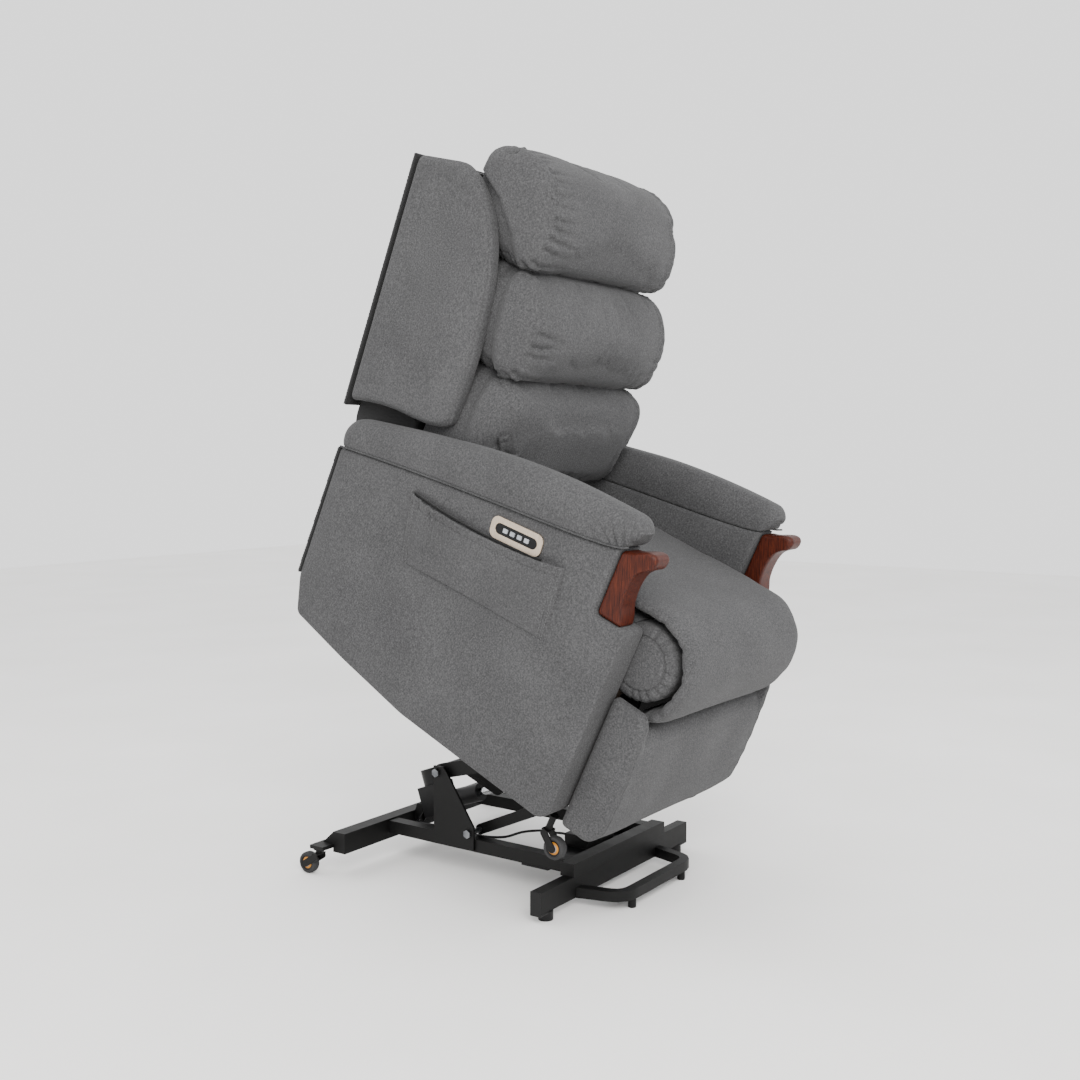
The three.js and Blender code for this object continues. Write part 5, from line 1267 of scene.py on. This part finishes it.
class LIFTCHAIR_OT_legrest(bpy.types.Operator):
    """Makes the padded legrest board"""
    bl_idname = "liftchair.legrest"
    bl_label = "Legrest"

    def ring(self, x):
        """The pad's outline at x: its ends rise beside the chaise pad's lip and reach back to the arms."""
        end = float(faded(abs(x), 253, 265))
        top, back = 252 + 40 * end, 6 + 13 * end
        outline = smooth_outline(rounded_corners([
            (back, top), (-54, top - 1), (-69, top - 22), (-75, 185), (-78, 85), (-76, 34), (-64, 2),
            (-46, -10), (back, -10)], 12), 200, sharp=True)
        return np.column_stack([np.full(200, x), outline])

    def execute(self, context):
        rings = lofted(self.ring, -287, 287, 14, 4, 10, 3)
        item = subdivided(soft_piece("leg_board_upholstery", rings, "cloth"))

        def dress(points, normals):
            free = faded(6 - points[:, 1], 1, 10)
            e = 287 - np.abs(points[:, 0])
            t = (points[:, 2] + 10) / 270
            puckers = gathers(e, t, 14.0, 7, 2.2, 34, 8, 81)
            return (groove(e - 14, 1.6, 2.0) + puckers + slack_noise(points, 1.6, 0.12, 83, 110)) * free

        formed(item, dress)
        dressed(item, "legrest", ("leg_board",))
        return {"FINISHED"}


class LIFTCHAIR_OT_pocket(bpy.types.Operator):
    """Makes the gathered cloth pocket on the right arm"""
    bl_idname = "liftchair.pocket"
    bl_label = "Side pocket"

    def surface(self, u, v):
        """Chair-frame (y, z) and bulge at u from front to rear and v from foot to top, 0 to 1."""
        foot = np.outer(1 - u, POCKET_FRONT_FOOT) + np.outer(u, POCKET_REAR_FOOT)
        top = np.outer(1 - u, POCKET_FRONT_TOP) + np.outer(u, POCKET_REAR_TOP)
        top[:, 1] -= POCKET_SAG * (4 * u * (1 - u)) ** 0.9
        place = foot + (top - foot) * v[:, None]
        place[:, 1] += 3.0 * np.sin(math.pi * u) * (1 - v)
        rim = np.minimum(np.minimum(u, 1 - u) * 7, 1)
        belly = np.sin(math.pi * np.clip(v * 0.62 + 0.03, 0, 1)) ** 0.6
        return place, rim ** 0.6 * belly + 0.5 * v ** 5 * np.exp(-((u - 0.86) / 0.16) ** 2) * rim

    def execute(self, context):
        across_count, up_count = 190, 84
        u, v = np.meshgrid(np.linspace(0, 1, across_count), np.linspace(0, 1, up_count), indexing="ij")
        u, v = u.ravel(), v.ravel()
        place, bulge = self.surface(u, v)
        random = np.random.default_rng(91)
        folds = np.zeros(len(u))
        for k in range(17):
            centre = (k + 0.5 + random.uniform(-0.35, 0.35)) / 17
            lean = random.uniform(-0.09, 0.09)
            reach = random.uniform(0.25, 0.62)
            width = random.uniform(0.008, 0.016)
            fall = np.exp(-((1 - v) / reach) ** 2)
            deep = random.uniform(0.8, 2.4) + 4.5 * math.exp(-((centre - 0.86) / 0.13) ** 2)
            folds -= deep * np.exp(-((u - centre - lean * (1 - v)) / width) ** 2) * fall
            folds += 1.2 * np.exp(-((u - centre - lean * (1 - v) - width * 1.7) / width) ** 2) * fall
        noise = noise_field(np.column_stack([place, np.zeros(len(u))]), 60, 93) * 2.0
        hem = 1.8 * np.exp(-(((1 - v) - 0.03) / 0.03) ** 2) - 2.0 * np.exp(-(((1 - v) - 0.13) / 0.012) ** 2)
        edge = np.minimum(np.minimum(u, 1 - u) * 40, 1) * np.minimum(v * 26, 1)
        raised = np.minimum(np.minimum(u, 1 - u) * 110, 1) * np.minimum(v * 50, 1)
        x = -(336.6 + 3.2 * raised + bulge * 12.5 + (folds + noise + hem) * edge)
        outside = np.column_stack([np.minimum(x, -336.2), place])
        inside = outside.copy()
        inside[:, 0] = np.minimum(outside[:, 0] + 2.2, -335.4)
        count = across_count * up_count
        faces = []
        for i in range(across_count - 1):
            for j in range(up_count - 1):
                a = i * up_count + j
                b, c, d = a + up_count, a + up_count + 1, a + 1
                faces.append((a, b, c, d))
                faces.append((count + a, count + d, count + c, count + b))
        rim = ([i * up_count for i in range(across_count)]
               + [(across_count - 1) * up_count + j for j in range(1, up_count)]
               + [i * up_count + up_count - 1 for i in range(across_count - 2, -1, -1)]
               + [j for j in range(up_count - 2, 0, -1)])
        for a, b in zip(rim, rim[1:] + rim[:1]):
            faces.append((b, a, count + a, count + b))
        item = piece_of("side_pocket_gathered", from_chair(np.vstack([outside, inside])), faces, "cloth")
        outward(item)
        dressed(item, "chair", ("side_pocket",))
        # A black cord along the pocket's hem: painted shadow standing for the dark gap inside the pocket's
        # mouth.
        along = np.linspace(250, 597, 60)
        path = np.column_stack([np.full(60, -338.2), along, mouth_height(along) + 1.6])
        mouth_shadow_cord = tube("pocket_mouth_painted_shadow", from_chair(path), 2.1, "black_cloth", 10)
        dressed(mouth_shadow_cord, "chair", ())
        for name, share in (("front", 0.02), ("front_second", 0.045), ("rear", 0.98), ("rear_second", 0.955)):
            row = np.linspace(0.02, 0.93, 40)
            line, lift = self.surface(np.full(40, share), row)
            path = np.column_stack([np.full(40, -340.6) - lift * 10.5, line])
            stitches(f"pocket_{name}_stitches", from_chair(path), soft().stitch_pitch * 1000,
                     soft().stitch_length * 1000, soft().thread_radius * 1000, "chair")
        return {"FINISHED"}


class LIFTCHAIR_OT_covers(bpy.types.Operator):
    """Makes the black dust covers at the back"""
    bl_idname = "liftchair.covers"
    bl_label = "Rear covers"

    def cover(self, node, body, seed):
        """The cloth of a cover, remeshed so that it can hang slack inside its hem."""
        item = merged_copy(node, f"{node}_cloth", "black_cloth")
        remesh = item.modifiers.new("even weave", "REMESH")
        remesh.mode = "VOXEL"
        remesh.voxel_size = 0.003
        remesh.use_smooth_shade = True
        bare_mesh(item)
        item.data.materials.clear()
        item.data.materials.append(finish("black_cloth"))
        places = to_chair(mesh_points(item.data))
        low, high = places.min(axis=0), places.max(axis=0)

        def dress(points, normals):
            e = np.minimum.reduce([points[:, 0] - low[0], high[0] - points[:, 0], points[:, 2] - low[2],
                                   high[2] - points[:, 2]])
            rearward = faded(normals[:, 1], 0.5, 0.9)
            slack = slack_noise(points, 1.6, 0.5, seed, 150, 40)
            return rearward * (groove(e - 14, 2.0, 1.2) + faded(e, 20, 60) * slack)

        formed(item, dress)
        dressed(item, body, (node,))

    def flap(self, side, sign):
        """The flap that closes the gap between a wing's foot and the arm. It stays with the arm."""
        outline = smooth_outline(rounded_corners([(712, 560), (722, 470), (770, 440), (868, 452), (884, 500),
                                                  (884, 572), (800, 580)], 14), 160, sharp=True)
        low, high = sorted((sign * 252.6, sign * 254.2))
        rings = lofted(across(outline), low, high, 0.6, 0.5, 14, 0.1, centre=(0, 800, 515))
        dressed(soft_piece(f"rear_flap_{side}", rings, "black_cloth"), "chair", ())

    def execute(self, context):
        self.cover("rear_cover", "back", 101)
        self.cover("lower_rear_cover", "chair", 103)
        for side, sign in SIDES:
            self.flap(side, sign)
        return {"FINISHED"}


class LIFTCHAIR_OT_knuckles(bpy.types.Operator):
    """Makes the turned wooden knuckles at the front of the arms"""
    bl_idname = "liftchair.knuckles"
    bl_label = "Arm knuckles"

    outline = [(99.6, 435.5), (99.6, 572), (78, 577), (60, 587), (44, 594), (32, 594.5), (24.5, 588),
               (24, 576), (28, 566), (40, 558), (52, 546), (58, 526), (60, 500), (57, 472), (47, 450),
               (42, 435.5)]

    def execute(self, context):
        outline = smooth_outline(rounded_corners(self.outline, 9, 4), 220, sharp=True)
        for side, sign in SIDES:
            low, high = sorted((sign * 272, sign * 330))
            rings = lofted(across(outline), low, high, hard().wood_bevel * 1000, 4, 14, 1.0,
                           centre=(0, 74, 520))
            item = soft_piece(f"knuckle_{side}_turned", rings, "mahogany")
            dressed(item, "chair", (f"knuckle_{side}",))
        return {"FINISHED"}


class LIFTCHAIR_OT_control(bpy.types.Operator):
    """Finishes the hand control: its bezel, dark insert and keys"""
    bl_idname = "liftchair.control"
    bl_label = "Hand control"

    def execute(self, context):
        refined("control_bezel", "champagne", "chair", 1.4, 3)
        refined("control_insert", "black_plastic", "chair", 0.5, 2)
        for index in range(1, 5):
            refined(f"control_key_{index}", "key_plastic", f"key_{index}", 1.1, 3)
        return {"FINISHED"}


class LIFTCHAIR_OT_steelwork(bpy.types.Operator):
    """Finishes the base's bars, plates, links, drives and brackets"""
    bl_idname = "liftchair.steelwork"
    bl_label = "Steelwork"

    coated = ("front_foot_bar", "front_tie_bar", "rear_cross_bar", "side_rail_right", "side_rail_left",
              "lower_links", "upper_links", "link_brackets", "leg_bracket", "leg_arms", "leg_link_right",
              "leg_link_left", "back_frame")
    moulded = ("foot_cap_right", "foot_cap_left", "supply_box", "mains_inlet", "lift_gearbox",
               "recline_drive")
    bright = ("upper_pivot_shaft", "lower_pivot_shaft")
    rods = ("lift_rod", "recline_rod")

    def execute(self, context):
        edge = hard().steel_bevel * 1000
        for node in self.coated:
            refined(node, "steel", rider(node), edge, 2)
        for node in self.moulded:
            refined(node, "black_plastic", rider(node), hard().moulding_bevel * 1000, 2)
        for node in self.bright:
            refined(node, "zinc", rider(node), 0.8, 2)
        for node in self.rods:
            refined(node, "rod", rider(node), 0.6, 2)
        # The seat frame and deck take the near-black plywood, whose darkness is painted shade.
        for node, look, slot in (("seat_frame", "ply", "wood_plain"), ("seat_deck", "ply", "wood_plain"),
                                 ("back_board", "black_cloth", "cloth_black")):
            refined(node, look, rider(node), 1.2, 2)
        refined("front_loop", "steel", "base", hard().loop_corner * 1000, 3)
        return {"FINISHED"}


class LIFTCHAIR_OT_lead(bpy.types.Operator):
    """Makes the lift drive's thin lead, clipped along the right rail"""
    bl_idname = "liftchair.lead"
    bl_label = "Drive lead"

    def execute(self, context):
        refined("motor_lead", "black_plastic", rider("motor_lead"), 0.1, 1)
        return {"FINISHED"}


class LIFTCHAIR_OT_casters(bpy.types.Operator):
    """Makes the casters' forks and their wheels with hubs"""
    bl_idname = "liftchair.casters"
    bl_label = "Casters"

    def wheel(self, node):
        low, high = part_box(node)
        middle = (np.array(low) + np.array(high)) / 2
        tread = [(-9.3, 17), (-9.9, 20), (-8.6, 22.6), (-6, 23.7), (0, 24), (6, 23.7), (8.6, 22.6), (9.9, 20),
                 (9.3, 17), (7.4, 16.4), (-7.4, 16.4)]
        web = [(-7.2, 13), (-8.6, 16.3), (8.6, 16.3), (7.2, 13)]
        ring = [(-9.0, 9), (-7.4, 13), (7.4, 13), (9.0, 9)]
        core = [(-7.8, 4.4), (-9.6, 4.9), (-9.8, 7.8), (-9.0, 9), (9.0, 9), (9.8, 7.8), (9.6, 4.9),
                (7.8, 4.4)]
        pieces = [turned(f"{node}_{part}", profile, middle, look) for part, profile, look in (
            ("tread", tread, "tread"), ("web", web, "black_plastic"), ("ring", ring, "hub"),
            ("core", core, "grey_plastic"))]
        item = joined(f"{node}_turned", pieces)
        return dressed(item, rider(node), (node,))

    def execute(self, context):
        for place in ("rear", "front"):
            for side, _ in SIDES:
                refined(f"{place}_caster_fork_{side}", "steel", rider(f"{place}_caster_fork_{side}"), 0.7, 2)
                self.wheel(f"{place}_caster_wheel_{side}")
        return {"FINISHED"}


STEPS = (LIFTCHAIR_OT_stage, LIFTCHAIR_OT_pillows, LIFTCHAIR_OT_seat, LIFTCHAIR_OT_arms, LIFTCHAIR_OT_wings,
         LIFTCHAIR_OT_legrest, LIFTCHAIR_OT_pocket, LIFTCHAIR_OT_covers, LIFTCHAIR_OT_knuckles,
         LIFTCHAIR_OT_control, LIFTCHAIR_OT_steelwork, LIFTCHAIR_OT_lead, LIFTCHAIR_OT_casters)


class LIFTCHAIR_PT_panel(bpy.types.Panel):
    """Lists the chair's settings and its building steps"""
    bl_idname = "LIFTCHAIR_PT_panel"
    bl_label = "Lift recliner chair"
    bl_space_type = "VIEW_3D"
    bl_region_type = "UI"
    bl_category = "Lift chair"

    def draw(self, context):
        for attribute, _ in GROUPS:
            group = getattr(context.scene, attribute)
            box = self.layout.box()
            for name in group.bl_rna.properties.keys():
                if name not in ("rna_type", "name"):
                    box.prop(group, name)
        for step in STEPS:
            self.layout.operator(step.bl_idname)


GROUPS = (("lift_chair_soft", LiftChairSoftSettings), ("lift_chair_hard", LiftChairHardSettings),
          ("lift_chair_stage", LiftChairStageSettings))


def register():
    for name, group in GROUPS:
        bpy.utils.register_class(group)
        setattr(bpy.types.Scene, name, bpy.props.PointerProperty(type=group))
    for item in (*STEPS, LIFTCHAIR_PT_panel):
        bpy.utils.register_class(item)


def unregister():
    for item in (LIFTCHAIR_PT_panel, *reversed(STEPS)):
        bpy.utils.unregister_class(item)
    for name, group in reversed(GROUPS):
        delattr(bpy.types.Scene, name)
        bpy.utils.unregister_class(group)


def main():
    register()
    for step in STEPS:
        family, name = step.bl_idname.split(".")
        getattr(getattr(bpy.ops, family), name)()


if __name__ == "__main__":
    main()
